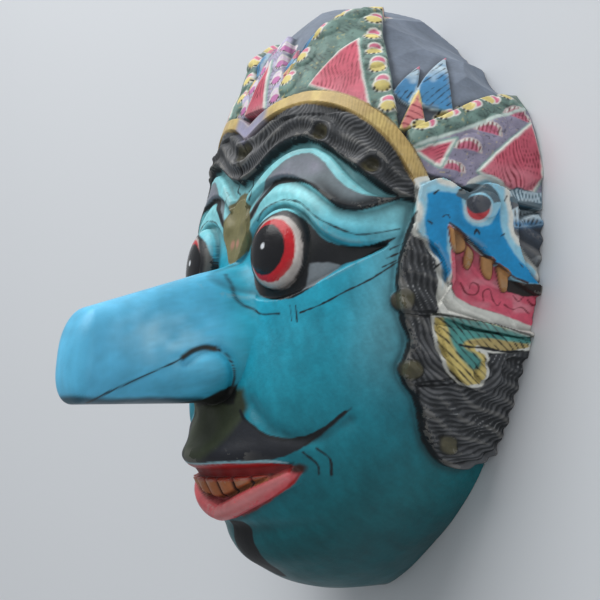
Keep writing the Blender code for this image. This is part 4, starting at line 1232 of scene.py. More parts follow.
lay(np.where(above_band, SKULL_FOOT - T - np.clip(S - 40, 0, 30), FAR), SKULL_GREY, MATT)
for plume in INNER_PLUMES + OUTER_PLUMES:
    shape = corners(plume)
    tip = plume[2]
    foot = (plume[0][1] + plume[1][1]) / 2
    lay(shape - 0.2, PLUME_PALE)
    lay(shape + 0.7, PLUME_BLUE, edge=1.2)
    risen = (T - foot) / (tip[1] - foot) + 0.2 * cloud(S, T, 3.0, 23)
    lay(shape + 0.3, PLUME_PALE, edge=1.4, cover=0.85 * smooth_step(0.35, 0.75, risen))
    lay(both(shape + 0.6, hatch(160, 2.1, 0.35, 0.9)), INK, cover=0.9 * (cloud(S, T, 4.0, 24) > -0.15))
    lay(both(shape, disc((tip[0], tip[1] - 1.5), (1.6, 2.6))), PETAL_PINK)
for wedge in (INNER_WEDGE, OUTER_WEDGE):
    shape = corners(wedge)
    lay(shape, CREAM)
    lay(shape + 1.3, WEDGE_PINK, edge=1.2)
    lay(both(shape + 1.4, hatch(70, 2.6, 0.45, 2.6)), HATCH_RED)

# %% Leaves, painted
leaf_noise = cloud(S, T, 3.2, 18)
leaf_shapes = [both(corners(leaf), above) for leaf in LEAVES]
for shape, ground in zip(leaf_shapes, (LILAC * 1.5, LEAF_GREEN, LEAF_GREEN)):
    lay(shape, ground, MATT)
    lay(shape, ground * 1.5, cover=0.8 * smooth_step(0.0, 0.5, leaf_noise))
    lay(both(shape + 0.5, hatch(75, 1.7, 0.35, 3.0)), INK, cover=0.6 * smooth_step(0.1, -0.3, leaf_noise))
flecks = cloud(S, T, 0.75, 61)
lilac_ground = both(corners(EAR_LILAC), corners(EAR_LEAF))
lay(lilac_ground, LILAC, MATT)
lay(both(lilac_ground, -leaf_noise - 0.1), LILAC * 1.35, edge=1.0, cover=0.6)
for shape in leaf_shapes:
    lay(shape, INK, cover=FLECK_SHARE * smooth_step(0.55, 0.95, flecks))
    lay(shape, CREAM, cover=FLECK_SHARE * smooth_step(-0.6, -1.0, flecks))

# %% Borders, fields and band, painted
stamped(OUTER_ROW, (-0.25, 1), 2.7, flower)
stamped(INNER_ROW, (0.3, 1), 2.5, flower)
stamped(EAR_ROW, (1, 0.55), 2.8, flower)
stamped(CENTRE_ROW, (-0.2, 1), 2.4, lilac_flower)
for centre, size in EAR_FANS:
    fan(centre, size)
lay(stroke(EAR_LILAC_EDGE, 1.3), EDGE_PALE, edge=1.0)
bordered_field(EAR_WEDGE, 120, 1.2)
bordered_field(CENTRE_FIELD, 20, 1.4)
bordered_field(SIDE_FIELD, 12, 1.3)
bordered_field(EAR_FIELD_EDGE, 22, 1.4)
lay(band, OCHRE, SATIN)
lay(band, GOLD_LIGHT, cover=0.8 * smooth_step(0.2, 0.8, cloud(S, T * 0.4, 6.0, 25)))
lay(both(band, hatch(8, 1.05, 0.4, 0.8)), OCHRE_DARK, cover=0.55 * smooth_step(30, 52, S))
lay(both(band, -band - 0.5), OCHRE_DARK, edge=0.8, cover=0.7)
lay(both(band - 0.2, S - BAND_BLUE_END), BAND_BLUE, edge=4.0, cover=0.9)
print("crown and band painted")

# %% [markdown]
# ## Paint of the ear ornament
# The bird's head is blue with white edges, a pink mouth and orange teeth, and the leaf below it is
# striped yellow. White is laid first and the colours stop short of its edge, which leaves the even
# white line that the painter gets by going round each shape last.

# %% Ear ornament, painted
BIRD_LINE = [(68.2, 26.3), (74.2, 28.6), (77.2, 26.7), (84.4, 26.3), (86.2, 29), (90.8, 32.3),
             (95.2, 31.8), (99.2, 30), (100, 23.9), (101.9, 17.9), (102.9, 11.9), (107.8, 6.8),
             (115.3, 1.2), (121, -6), (121, -10), (104, -10), (90, 3), (84, 10), (83, -1), (82, -9),
             (80.5, -14), (78.8, -19.7), (78.2, -9), (77.5, -3), (75.3, 0.7), (72.6, 4.9), (69.7, 6.3),
             (69.4, 8.6), (70.1, 12.8), (69.7, 17.9)]
BIRD_FIELD = [(72.5, 20.7), (73, 16), (72.8, 10.5), (74.2, 4.9), (78, -1.1), (80.2, -5.3), (80.9, -9),
              (81.9, -4.4), (80.9, -1.1), (79.8, 3.5), (79.8, 10.9), (82.4, 10.5), (89.3, 5.4),
              (97.6, -0.7), (105.1, -5.3), (113.6, -6), (116, -5), (106, 1.3), (99.9, 8.2), (97.5, 13),
              (96.5, 20), (94.5, 13.2), (89.5, 11.2), (85, 13.5), (83.1, 20.7), (81.5, 22.1),
              (76.2, 22.1)]
BEAK_INSIDE = [(80.1, 10.9), (86, 6.5), (94, 0.5), (102, -5), (108, -8.5), (121, -10), (121, -24),
               (113.7, -22.2), (100.7, -18.8), (91, -16.9), (84.9, -14.1), (82.4, -9), (81.7, -1.1)]
BEAK_CORNER = [(103.4, -6), (110, -6.6), (119, -5.5), (118, -10.5), (110, -11.4), (103.4, -10.4)]
BEAK_RIM = [(79.2, -14.1), (82.4, -10), (84.9, -14.1), (91, -16.9), (100.7, -18.8), (113.7, -22.2),
            (122, -24), (122, -28), (113.7, -25.6), (101, -22.6), (91.1, -21.2), (78.6, -20)]
BEAK_CURLS = [[(86, -9), (88.5, -12.5), (92, -12.3), (92.6, -9.3), (90, -8.4), (89.4, -10.6)],
              [(94.5, -14.5), (94.5, -11.2), (96.8, -10.2), (98, -13.5), (100, -16), (101.5, -14.2)],
              [(103, -15.4), (106.5, -16.8), (110, -15.6), (113.6, -17.6)], [(106, -11.6),
              (108.5, -13.6), (110.4, -11.8)], [(112.5, -12.6), (115.4, -14.6), (117, -12.6)]]
LEAF_LINE = [(77.3, -20.6), (77.9, -27.6), (82.2, -38.3), (86.8, -44.2), (91, -46.2), (97, -45.2),
             (98.2, -39.2), (96.8, -33.6), (93.2, -31.8), (99, -33.2), (111.4, -32.3), (121, -30),
             (121, -26.5), (112.9, -25.9), (97.3, -22.2), (86.8, -20.8)]
LEAF_TEAL = [(80.2, -21.3), (82.0, -24.4), (84.2, -30.8), (87.8, -36), (91.5, -39.4), (94.6, -39.5),
             (95.2, -36.5), (92.5, -33.8), (88, -31.5), (89.4, -29), (97.3, -28.3), (111.1, -29.4),
             (121, -28.6), (121, -27.4), (112.9, -26.3), (97.3, -22.8), (86.8, -21.4)]
LEAF_OLIVE = [(88.3, -29.5), (97.3, -28.1), (111.1, -29.5), (115, -30.2), (104.2, -32.7), (94.9, -31.5)]
BIRD_MARKS = [[(74.6, 21.2), (75.8, 22.6)], [(82.2, 23.4), (83.6, 24.2)], [(98.2, 22.6), (98.9, 24.4)],
              [(73.6, 11.4), (74.8, 10.6)], [(78, 13.4), (79.4, 14.4), (80.2, 13.2)], [(88.6, 8.6),
              (89.2, 10.4), (90.4, 9.0)], [(98, 9.2), (99.2, 10.2)], [(77.4, -4.2), (79.0, -2.4)],
              [(106, 0.4), (107.4, -0.8)]]
BIRD_BLUE = tint(20, 148, 208)
BIRD_PALE = tint(150, 206, 228)
BEAK_PINK = tint(222, 92, 116)
TOOTH_ORANGE = tint(176, 128, 78)
LEAF_YELLOW = tint(222, 200, 122)
TEAL = tint(80, 150, 144)
FEATHER_DARK = tint(60, 96, 114)

FEATHER_SHADOW_SLATE = tint(70, 78, 90)
GAPE_BROWN = tint(40, 30, 26)
BEAK_BROWN = tint(60, 40, 34)
BIRD_LID = tint(84, 104, 114)
BIRD_EYE_PALE = tint(190, 208, 216)
BIRD_EYE_RED = tint(196, 62, 70)
BIRD_EYE_DARK = tint(66, 70, 80)
LEAF_BUFF = tint(186, 166, 110)
LEAF_EDGE_DARK = tint(40, 46, 40)
FEATHER_SHADOW_AREA = [(99, 27), (104, 30), (121, 31), (121, 6), (103, 12), (101, 20)]
FEATHER_FOOT = [(98.5, 27.5), (105, 29.5), (121, 31.5), (121, 25), (104, 22.5), (100, 23)]
UPPER_FEATHER = [(98.5, 27.5), (105, 29.5), (121, 31.5), (121, 27), (104, 25), (100, 25)]
LOWER_FEATHER = [(101, 19.5), (103.4, 21.6), (121, 25.5), (121, 19), (104, 13.5), (102, 14)]
BEAK_LINE = [(80.4, 11.4), (86.5, 7.2), (94.5, 1.2), (102.5, -4.2), (110, -6.4)]
LEAF_RIB = [(86.5, -30.8), (90, -31.5), (95, -31.6), (104, -32.8), (112, -32.2)]
LEAF_TOP = [(77.6, -20.4), (91, -21.7), (101, -23.2), (113.7, -26.2), (121, -28)]
EYE_ARCH = (89.2, 18.6)
ARCH_RADIUS = 6.3
ARCH_HALF_WIDTH = 1.9
BIRD_EYE_WHITE = ((89.0, 17.6), (4.5, 5.0))
BIRD_EYE_RING = ((89.0, 17.8), (3.7, 4.0))
BIRD_PUPIL = ((88.9, 19.4), (3.9, 3.4))
FEATHER_SPLIT = (102, 15.5)  # its blue part lies under a line through here
SPLIT_RISE = 0.28
LEAF_YELLOW_TOP = -20.8

# A painted shadow behind the feathers, in dark slate.
lay(corners(FEATHER_SHADOW_AREA), FEATHER_SHADOW_SLATE, MATT)
lay(corners(FEATHER_FOOT), FEATHER_DARK)
upper_feather = corners(UPPER_FEATHER)
lay(upper_feather, PLUME_PALE)
lay(both(upper_feather, hatch(25, 1.5, 0.55)), FEATHER_DARK)
feather = corners(LOWER_FEATHER)
lay(feather, PLUME_PALE)
lay(both(feather, T - FEATHER_SPLIT[1] - SPLIT_RISE * (S - FEATHER_SPLIT[0])), PLUME_BLUE, edge=3.0)
lay(both(feather + 0.4, hatch(15, 1.5, 0.4)), INK)

# %% Bird's head, painted
bird = area(BIRD_LINE, 3)
lay(bird, WHITE, MATT)
lay(bird + 2.0, BIRD_PALE, edge=1.6)
bird_field = area(BIRD_FIELD, 3)
lay(bird_field - 0.2, BIRD_BLUE, edge=1.0)
lay(bird_field + 1.0, BIRD_BLUE * 0.8, edge=2.0, cover=0.5 + 0.5 * cloud(S, T, 4.0, 20))
beak_inside = corners(BEAK_INSIDE)
lay(beak_inside, BEAK_PINK, SATIN)
lay(beak_inside, FIELD_PINK, edge=1.0, cover=0.7 * smooth_step(0.0, 0.7, cloud(S, T, 4.0, 21)))
for curl in BEAK_CURLS:
    lay(stroke(curl, FINE_LINER), HATCH_RED)
for tooth in BEAK_TEETH:
    shape = area(tooth, 3)
    lay(shape - 0.5, HATCH_RED * 0.5)
    lay(shape, TOOTH_ORANGE, SATIN, edge=1.0)
lay(corners(BEAK_CORNER), GAPE_BROWN)
lay(stroke(BEAK_LINE, ROUND_BRUSH), BEAK_BROWN)
lay(corners(BEAK_RIM), WHITE)
eye_arch = np.hypot(S - EYE_ARCH[0], (T - EYE_ARCH[1]) * 0.86)
over_eye = 18.5 - T + 0.4 * np.abs(S - EYE_ARCH[0])
lay(both(np.abs(eye_arch - ARCH_RADIUS) - ARCH_HALF_WIDTH, over_eye), BIRD_LID)
lay(disc(*BIRD_EYE_WHITE), BIRD_EYE_PALE)
lay(disc(*BIRD_EYE_RING), BIRD_EYE_RED, SATIN)
lay(disc(*BIRD_PUPIL), BIRD_EYE_DARK, SATIN)
for mark in BIRD_MARKS:
    lay(stroke(mark, FINE_LINER), INK)
print("bird's head painted")

# %% Curled leaf, painted
curled = area(LEAF_LINE, 3)
lay(curled - 0.2, WHITE, MATT)
lay(both(curled + 1.0, T - LEAF_YELLOW_TOP), LEAF_YELLOW)
teal = area(LEAF_TEAL, 3)
lay(teal, TEAL, edge=1.4)
lay(teal, TEAL * 1.5, edge=1.4, cover=0.6 * smooth_step(0.1, 0.7, cloud(S, T, 4.0, 22)))
lay(corners(LEAF_OLIVE), LEAF_BUFF)
lay(both(curled + 0.8, hatch(45, 2.0, 0.36)), INK)
lay(stroke(LEAF_RIB, 0.8), INK)
lay(stroke(LEAF_TOP, 0.8), LEAF_EDGE_DARK)
print("curled leaf painted")

# %% [markdown]
# ## Lines on the nose
# One ink line runs round the wing of the nose. Painted shade lies in the groove over the wing,
# under the nostrils and along the underside of the nose. The drawing is pulled out of shape there,
# so the line is given as it is seen from the side, by its places along the face and above the rim.

# %% Lines on the nose
NOSE_LINE = [(-57.5, 131), (-53.8, 127), (-50.8, 122.5), (-46.8, 116), (-43, 109.5), (-39.2, 103),
             (-35.6, 98.5), (-33.2, 94.5), (-32.6, 90.5), (-33.2, 86.5), (-35.8, 83), (-40, 80.8),
             (-46, 79.8)]
WING_SHADE = [(-37.5, 100.5), (-34.4, 96.5), (-32.8, 92.5), (-32.8, 88.5)]
NOSTRIL_SHADE = [(0, -44.8), (7.2, -44.3), (10.5, -42.5), (12.7, -42.9), (13.5, -47), (12, -50.5),
                 (0, -51)]
WING_GROOVE_SHADE = tint(66, 56, 46)
NOSTRIL_DARK = tint(26, 28, 26)
NOSE_UNDERSIDE_SHADE = tint(26, 44, 50)
NOSE_LEVELS = np.arange(90, 137, 3.0)  # heights at which its foot is looked for
UNDERSIDE = 2.2  # the dark of the underside reaches this far up

y, z = half[..., 1], half[..., 2]
on_nose = (half[..., 0] > 4) & (S < 26) & (T > -64) & (T < 8)


def along_nose(line, width):
    """Distance to a stroke that is drawn on the nose seen from the side, in y and z."""
    return np.where(on_nose, to_line(y, z, smooth_curve(line, 5)) - width, FAR)


lay(along_nose(NOSE_LINE, 0.3), INK)
# Painted shade in the groove over the wing of the nose.
lay(along_nose(WING_SHADE, 1.0), WING_GROOVE_SHADE, edge=1.2)
# Painted shade under the nostrils.
lay(corners(across_middle(NOSTRIL_SHADE)), NOSTRIL_DARK, MATT, edge=1.6)
nose_foot = [y[(np.abs(z - level) < 3) & (S < 16)].min() for level in NOSE_LEVELS]
above_foot = y - np.interp(z, NOSE_LEVELS, nose_foot)
# Painted shade along the underside of the nose, in dark teal.
lay(np.where((z > 89) & (S < 20), above_foot - UNDERSIDE, FAR), NOSE_UNDERSIDE_SHADE, edge=1.6, cover=0.85)
print("nose painted")

# %% [markdown]
# ## Hand of the painter
# No coat is even. Noise of three sizes makes every colour a little deeper or paler: the finest is
# like single strokes, the broadest like a brush that runs dry.

# %% Hand of the painter
STROKE_TONE = 0.07
PATCH_TONE = 0.06
hand = STROKE_TONE * cloud(S, T, 0.8, 51) + PATCH_TONE * cloud(S, T, 3.0, 52)
hand += PATCH_TONE * cloud(S, T * 0.5, 7.0, 53)
colour *= (1 + hand)[..., None]
print("colours from", colour.min().round(2), "to", colour.max().round(2))

# %% [markdown]
# ## Wear
# Paint rubs off where the wood stands proud and dirt stays where it is cut deep. How far the
# relief stands over its own average nearby tells which is which: crests are positive, grooves are
# negative. The paint material reads this number.

# %% Crests and grooves
REACH_ROWS = 5  # the average nearby takes in this many cells each way, twice


def blurred(table, reach):
    """Average of a table over a square that reaches so many cells each way, by running sums."""
    for axis in (0, 1):
        padded = np.pad(table, [(reach + 1, reach) if a == axis else (0, 0) for a in (0, 1)], mode="edge")
        sums = np.cumsum(padded, axis=axis)
        ahead = np.take(sums, np.arange(2 * reach + 1, sums.shape[axis]), axis=axis)
        behind = np.take(sums, np.arange(0, sums.shape[axis] - 2 * reach - 1), axis=axis)
        table = (ahead - behind) / (2 * reach + 1)
    return table


crest = relief - blurred(blurred(relief, REACH_ROWS), REACH_ROWS)
print("crests", crest.max().round(2), "grooves", crest.min().round(2))

# %% [markdown]
# ## The pieces
# The two halves become one sheet, cut into a few pieces that share their border points. Each
# piece gets the normals of the whole sheet, so the light runs over the borders without a line.
# The colour, the roughness and the crest number of every point travel with it as attributes.

# %% Making a piece
def joined(left_of, flip=1.0):
    """Both halves of a table: the given half, and before it its mirror without the middle column."""
    mirror = left_of[:, :0:-1].copy()
    if flip < 0:
        mirror[..., 0] *= -1
    return np.concatenate([mirror, left_of], axis=1)


def faces_of(rows, columns, poles):
    """Quads of a grid. Where a first or last row is one point, that row becomes triangles."""
    index = np.arange(rows * columns).reshape(rows, columns)
    if poles[0]:
        index[0] = index[0, 0]
    if poles[1]:
        index[-1] = index[-1, 0]
    quads = np.stack([index[:-1, :-1], index[:-1, 1:], index[1:, 1:], index[1:, :-1]], axis=-1)
    quads = quads.reshape(-1, 4)
    low_pole = quads[:, 0] == quads[:, 1]
    high_pole = quads[:, 2] == quads[:, 3]
    triangles = np.concatenate([quads[low_pole][:, [0, 2, 3]], quads[high_pole][:, [0, 1, 2]]])
    quads = quads[~low_pole & ~high_pole]
    used, renumbered = np.unique(np.concatenate([quads.ravel(), triangles.ravel()]), return_inverse=True)
    return used, renumbered, len(quads), len(triangles)


# %% Making a mesh
def skin(name, points, normals, poles=(False, False), marks=None):
    """Mesh object from a grid of points. marks holds one value or colour for each point."""
    used, corners_used, quads, triangles = faces_of(*points.shape[:2], poles)
    mesh = bpy.data.meshes.new(name)
    mesh.vertices.add(len(used))
    mesh.vertices.foreach_set("co", points.reshape(-1, 3)[used].astype(np.float32).ravel())
    mesh.loops.add(len(corners_used))
    mesh.loops.foreach_set("vertex_index", corners_used.astype(np.int32).ravel())
    starts = np.concatenate([np.arange(quads) * 4, quads * 4 + np.arange(triangles) * 3])
    mesh.polygons.add(len(starts))
    mesh.polygons.foreach_set("loop_start", starts.astype(np.int32))
    mesh.update(calc_edges=True)
    mesh.validate()
    for title, table in (marks or {}).items():
        if table.ndim == 3:
            layer = mesh.attributes.new(title, "FLOAT_COLOR", "POINT")
            opaque = np.concatenate([table, np.ones(table.shape[:2] + (1,))], axis=-1)
            layer.data.foreach_set("color", opaque.reshape(-1, 4)[used].astype(np.float32).ravel())
        else:
            layer = mesh.attributes.new(title, "FLOAT", "POINT")
            layer.data.foreach_set("value", table.reshape(-1)[used].astype(np.float32))
    mesh.shade_smooth()
    mesh.normals_split_custom_set_from_vertices(normals.reshape(-1, 3)[used])
    piece = bpy.data.objects.new(name, mesh)
    bpy.context.scene.collection.objects.link(piece)
    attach(piece, "root")
    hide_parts("mask")
    print(name, len(used), "points,", quads * 2 + triangles, "triangles")
    return piece


# %% Outside pieces
SIDE_START = 66.0  # the side pieces begin this far from the midline
PIECE_ROWS = {"mouth_and_chin": (None, -52.0), "nose_and_cheeks": (-52.0, 8.0),
              "brows_and_fringe": (8.0, 48.0), "crown": (48.0, None)}
front = joined(half, -1.0) * UNIT
front_normals = outward(front)
marks = {"paint": joined(np.clip(colour, 0, 1)), "rough": joined(rough), "crest": joined(crest)}
middle = len(column_s) - 1
side_start = int(np.searchsorted(column_s, SIDE_START))
outside = []


def cut_out(name, rows, columns):
    """One piece of the front: the given rows and columns of the sheet."""
    poles = (rows.start == 0, rows.stop == len(row_t))
    kept = {title: table[rows, columns] for title, table in marks.items()}
    outside.append(skin(name, front[rows, columns], front_normals[rows, columns], poles, kept))


for name, (start, stop) in PIECE_ROWS.items():
    first_row = 0 if start is None else int(np.argmin(np.abs(row_t - start)))
    last_row = len(row_t) - 1 if stop is None else int(np.argmin(np.abs(row_t - stop)))
    cut_out(name, slice(first_row, last_row + 1), slice(middle - side_start, middle + side_start + 1))
every_row = slice(0, len(row_t))
cut_out("left_side", every_row, slice(middle + side_start, front.shape[1]))
cut_out("right_side", every_row, slice(0, middle - side_start + 1))

# %% [markdown]
# ## Hollow back
# The back is hollowed with a bent gouge, one wall thickness inside the smooth head. The gouge
# leaves shallow scoops side by side, here bowls of distance squared over twice the gouge's
# radius. The flat rim joins the hollow to the front, in bare wood gone brown with handling.

# %% Hollow and rim
HOLLOW_ROWS = 300
HOLLOW_COLUMNS = 240
SCOOP_SIZE = 0.0085
SCOOP_SEED = 31
SCOOP_RISE = 0.6  # from one row of the hollow to the next, as a share of that outside
GOUGE_RADIUS = 0.030
SCOOP_FADE = 0.06  # scoops deepen over this share of the midline from each end
RIM_FADE = (0.5, 0.45)  # and between these angles from the rim, in half turns
RIM_STEPS = 5
HOLLOW_BACK_SHARE = 0.5  # how far the hollow closes below the rim plane


def hollow_sheet(share, turn):
    """Inside of the mask in metres: the same formula as the head, its two curves one wall further in."""
    rim = inset(rim_curve() * UNIT[:2], WALL)
    midline = inset(midline_curve() * UNIT[1:], -WALL)
    rim[[0, -1], 0] = 0
    midline[[0, -1], 1] = 0
    return head(rim, midline, share, turn, back=HOLLOW_BACK_SHARE)


hollow_shares = np.linspace(0, 1, HOLLOW_ROWS)
hollow_turns = np.linspace(-0.5, 0.5, HOLLOW_COLUMNS) * np.pi
hollow_share, hollow_turn = np.meshgrid(hollow_shares, hollow_turns, indexing="ij")
hollow = hollow_sheet(hollow_share, hollow_turn)
hollow_out = outward(hollow)
hollow_t = hollow_share * whole * UNIT[1] * SCOOP_RISE
scoops = nearest_centre(along_rows(hollow), hollow_t, SCOOP_SIZE, SCOOP_SEED) ** 2 / (2 * GOUGE_RADIUS)
inner_fade = smooth_step(0, SCOOP_FADE, hollow_share) * smooth_step(1, 1 - SCOOP_FADE, hollow_share)
inner_fade *= smooth_step(*RIM_FADE, np.abs(hollow_turn) / np.pi)
hollow = hollow - hollow_out * (scoops * inner_fade)[..., None]
hollow[:, [0, -1], 2] = 0
hollow_piece = skin("hollow", hollow[:, ::-1], -outward(hollow)[:, ::-1], (True, True))

# %% Rim
rims = []
steps = np.linspace(0, 1, RIM_STEPS)[None, :, None]
for name, side in (("rim_left", -1), ("rim_right", 0)):
    outer = front[:, side]
    inner = np.stack([np.interp(row_share, hollow_shares, hollow[:, side, k]) for k in range(3)], axis=-1)
    strip = outer[:, None] + (inner - outer)[:, None] * steps
    strip[..., 2] = 0
    if name == "rim_right":
        strip = strip[:, ::-1]
    flat = np.zeros(strip.shape)
    flat[..., 2] = -1
    rims.append(skin(name, strip, flat))

# %% [markdown]
# ## Finishes
# Two effects are shared. Brushwork gives each coat of paint its uneven depth and the faint ridges
# of the brush. Age rubs the crests to a lighter tone, leaves dirt in the grooves and dulls the
# gloss there. Both are groups of nodes: they take a colour and hand it on changed.

# %% Node helpers
NODE_STEP = (220, 280)  # from one node to the next, and from one row of nodes to the next
NODES_IN_ROW = 6


def add(tree, kind, **settings):
    """A node with its settings. The nodes stand in rows, in the order in which they were made."""
    row, column = divmod(len(tree.nodes), NODES_IN_ROW)
    node = tree.nodes.new(kind)
    node.location = (column * NODE_STEP[0], -row * NODE_STEP[1])
    for setting, value in settings.items():
        setattr(node, setting, value)
    return node


def feed(tree, socket, value):
    """Sets a socket to a value, or links another socket to it."""
    if isinstance(value, (int, float, tuple)):
        socket.default_value = value
    else:
        tree.links.new(value, socket)


def number(tree, operation, first, second, clamp=False):
    """A math node: first and second are numbers or sockets."""
    node = add(tree, "ShaderNodeMath", operation=operation, use_clamp=clamp)
    feed(tree, node.inputs[0], first)
    feed(tree, node.inputs[1], second)
    return node.outputs[0]


def blended(tree, amount, first, second):
    """A colour mix, first + (second - first) * amount: each is a value or a socket."""
    node = add(tree, "ShaderNodeMix", data_type="RGBA")
    for place, value in ((0, amount), (6, first), (7, second)):
        feed(tree, node.inputs[place], value)
    return node.outputs[2]


def object_place(tree):
    """Object coordinates, in metres from the frame's origin."""
    return add(tree, "ShaderNodeTexCoord").outputs["Object"]


def noise(tree, coordinates, scale, detail, stretch=None):
    """Noise from 0 to 1, scale to the metre and detail layers fine, stretched along the axes if asked."""
    if stretch:
        mapping = add(tree, "ShaderNodeMapping")
        feed(tree, mapping.inputs["Scale"], stretch)
        feed(tree, mapping.inputs["Vector"], coordinates)
        coordinates = mapping.outputs["Vector"]
    node = add(tree, "ShaderNodeTexNoise")
    for title, value in (("Scale", scale), ("Detail", detail), ("Vector", coordinates)):
        feed(tree, node.inputs[title], value)
    return node.outputs["Fac"]


# %% Groups and finishes
def new_group(name, inputs, outputs):
    """An empty group with named sockets: inputs with their values, colours as tuples, and outputs."""
    tree = bpy.data.node_groups.new(name, "ShaderNodeTree")
    for title, value in inputs.items():
        kind = "NodeSocketColor" if isinstance(value, tuple) else "NodeSocketFloat"
        tree.interface.new_socket(title, in_out="INPUT", socket_type=kind).default_value = value
    for title, kind in outputs.items():
        tree.interface.new_socket(title, in_out="OUTPUT", socket_type=kind)
    return tree, add(tree, "NodeGroupInput").outputs, add(tree, "NodeGroupOutput").inputs


def placed(tree, group, **inputs):
    """A shared group in a tree: its inputs by name, as values or sockets."""
    node = add(tree, "ShaderNodeGroup", node_tree=group)
    for title, value in inputs.items():
        feed(tree, node.inputs[title], value)
    return node.outputs


def new_finish(name):
    """A material with its tree and its Principled shader's inputs."""
    material = bpy.data.materials.new(name)
    material.use_nodes = True
    return material, material.node_tree, material.node_tree.nodes["Principled BSDF"].inputs


def ridges(tree, height, strength, distance):
    """Normals of a surface that rises by height * distance, in metres."""
    bump = add(tree, "ShaderNodeBump")
    for title, value in (("Height", height), ("Strength", strength), ("Distance", distance)):
        feed(tree, bump.inputs[title], value)
    return bump.outputs["Normal"]


# %% Brushwork group
BRUSH_CLOUDS = (38.0, 4.0)  # how many to the metre, and layers of detail
BRUSH_PATCHES = (130.0, 3.0)
BRUSH_STREAKS = (260.0, 3.0)
STREAKS_ALONG = (1.0, 0.16, 0.5)  # streaks run up the mask
CLOUD_PART = 0.6  # the patches are the rest
MIDDLE = 0.5  # noise is this on average
MID_GREY = (0.5, 0.5, 0.5, 1)


def brushwork_group():
    """Colour * (1 + clouds + streaks), each above or below its average; the streaks are also ridges."""
    tree, given, result = new_group("brushwork", {"Color": MID_GREY, "Clouds": 0.3, "Streaks": 0.2},
                                    {"Color": "NodeSocketColor", "Height": "NodeSocketFloat"})
    place = object_place(tree)
    clouds = number(tree, "MULTIPLY", noise(tree, place, *BRUSH_CLOUDS), CLOUD_PART)
    patches = number(tree, "MULTIPLY", noise(tree, place, *BRUSH_PATCHES), 1 - CLOUD_PART)
    streaks = noise(tree, place, *BRUSH_STREAKS, STREAKS_ALONG)
    clouded = number(tree, "SUBTRACT", number(tree, "ADD", clouds, patches), MIDDLE)
    clouded = number(tree, "MULTIPLY", clouded, given["Clouds"])
    streaked = number(tree, "MULTIPLY", number(tree, "SUBTRACT", streaks, MIDDLE), given["Streaks"])
    strength = number(tree, "ADD", 1.0, number(tree, "ADD", clouded, streaked))
    deepened = add(tree, "ShaderNodeVectorMath", operation="SCALE")
    feed(tree, deepened.inputs[0], given["Color"])
    feed(tree, deepened.inputs["Scale"], strength)
    feed(tree, result["Color"], deepened.outputs[0])
    feed(tree, result["Height"], streaks)
    return tree


# %% Age group
AGE_PATCHES = (90.0, 5.0)
AGE_GRAIN = (900.0, 2.0)
GRAIN_PART = 0.3  # how much the grain frays the patches
CREST_START = 0.22  # crests over this height, in squares, are rubbed
CREST_GAIN = 2.2
WORN_OVER = 0.66  # and only in patches over this
GROOVE_GAIN = -1.3
SOIL_EVERYWHERE = 0.4
DULL_START = 0.45
DULLING = 0.35  # how much rougher the patches are
SOIL_DULLS = 0.25  # and how much rougher dirt is


def age_group():
    """Crests over a limit go to the rubbed colour, grooves go to the dirt colour, both in patches."""
    tree, given, result = new_group(
        "age", {"Color": MID_GREY, "Crest": 0.0, "Rubbed": (0.5, 0.45, 0.4, 1), "Dirt": (0.02, 0.02, 0.02, 1),
                "Rub": 0.5, "Soil": 0.5, "Roughness": 0.4},
        {"Color": "NodeSocketColor", "Roughness": "NodeSocketFloat"})
    place = object_place(tree)
    patches = noise(tree, place, *AGE_PATCHES)
    frayed = number(tree, "MULTIPLY", noise(tree, place, *AGE_GRAIN), GRAIN_PART)
    worn = number(tree, "GREATER_THAN", number(tree, "ADD", patches, frayed), WORN_OVER)
    crests = number(tree, "SUBTRACT", given["Crest"], CREST_START)
    crests = number(tree, "MULTIPLY", crests, CREST_GAIN, clamp=True)
    rub = number(tree, "MULTIPLY", number(tree, "MULTIPLY", crests, worn), given["Rub"])
    sunk = number(tree, "MULTIPLY", given["Crest"], GROOVE_GAIN, clamp=True)
    soil = number(tree, "MULTIPLY", sunk, number(tree, "ADD", patches, SOIL_EVERYWHERE))
    soil = number(tree, "MULTIPLY", soil, given["Soil"], clamp=True)
    dirty = blended(tree, soil, given["Color"], given["Dirt"])
    feed(tree, result["Color"], blended(tree, rub, dirty, given["Rubbed"]))
    dull = number(tree, "MULTIPLY", number(tree, "SUBTRACT", patches, DULL_START), DULLING)
    dull = number(tree, "ADD", given["Roughness"], dull)
    soiled = number(tree, "MULTIPLY", soil, SOIL_DULLS)
    feed(tree, result["Roughness"], number(tree, "ADD", dull, soiled, clamp=True))
    return tree


brushwork = brushwork_group()
age = age_group()
print("groups:", brushwork.name, "and", age.name)

# %% [markdown]
# ## Painted wood
# This is satin paint over grey primer. The colours are already on the points, so the material adds
# what is finer than the grid: brushwork, wear and the ridges of the brush. An image would need a
# UV map, and an attribute doesn't.

# %% Painted wood
PRIMER_GREY = (0.42, 0.40, 0.36, 1)  # shows where the paint is rubbed
DIRT_BROWN = (0.016, 0.018, 0.018, 1)
PAINT_GRAIN = (1500.0, 2.0)
PAINT_SWELL = (170.0, 3.0)
GRAIN_HEIGHT = 0.35  # these two as shares of the height of the brush's ridges
SWELL_HEIGHT = 1.4
PAINT_RIDGES = 0.00035  # metres


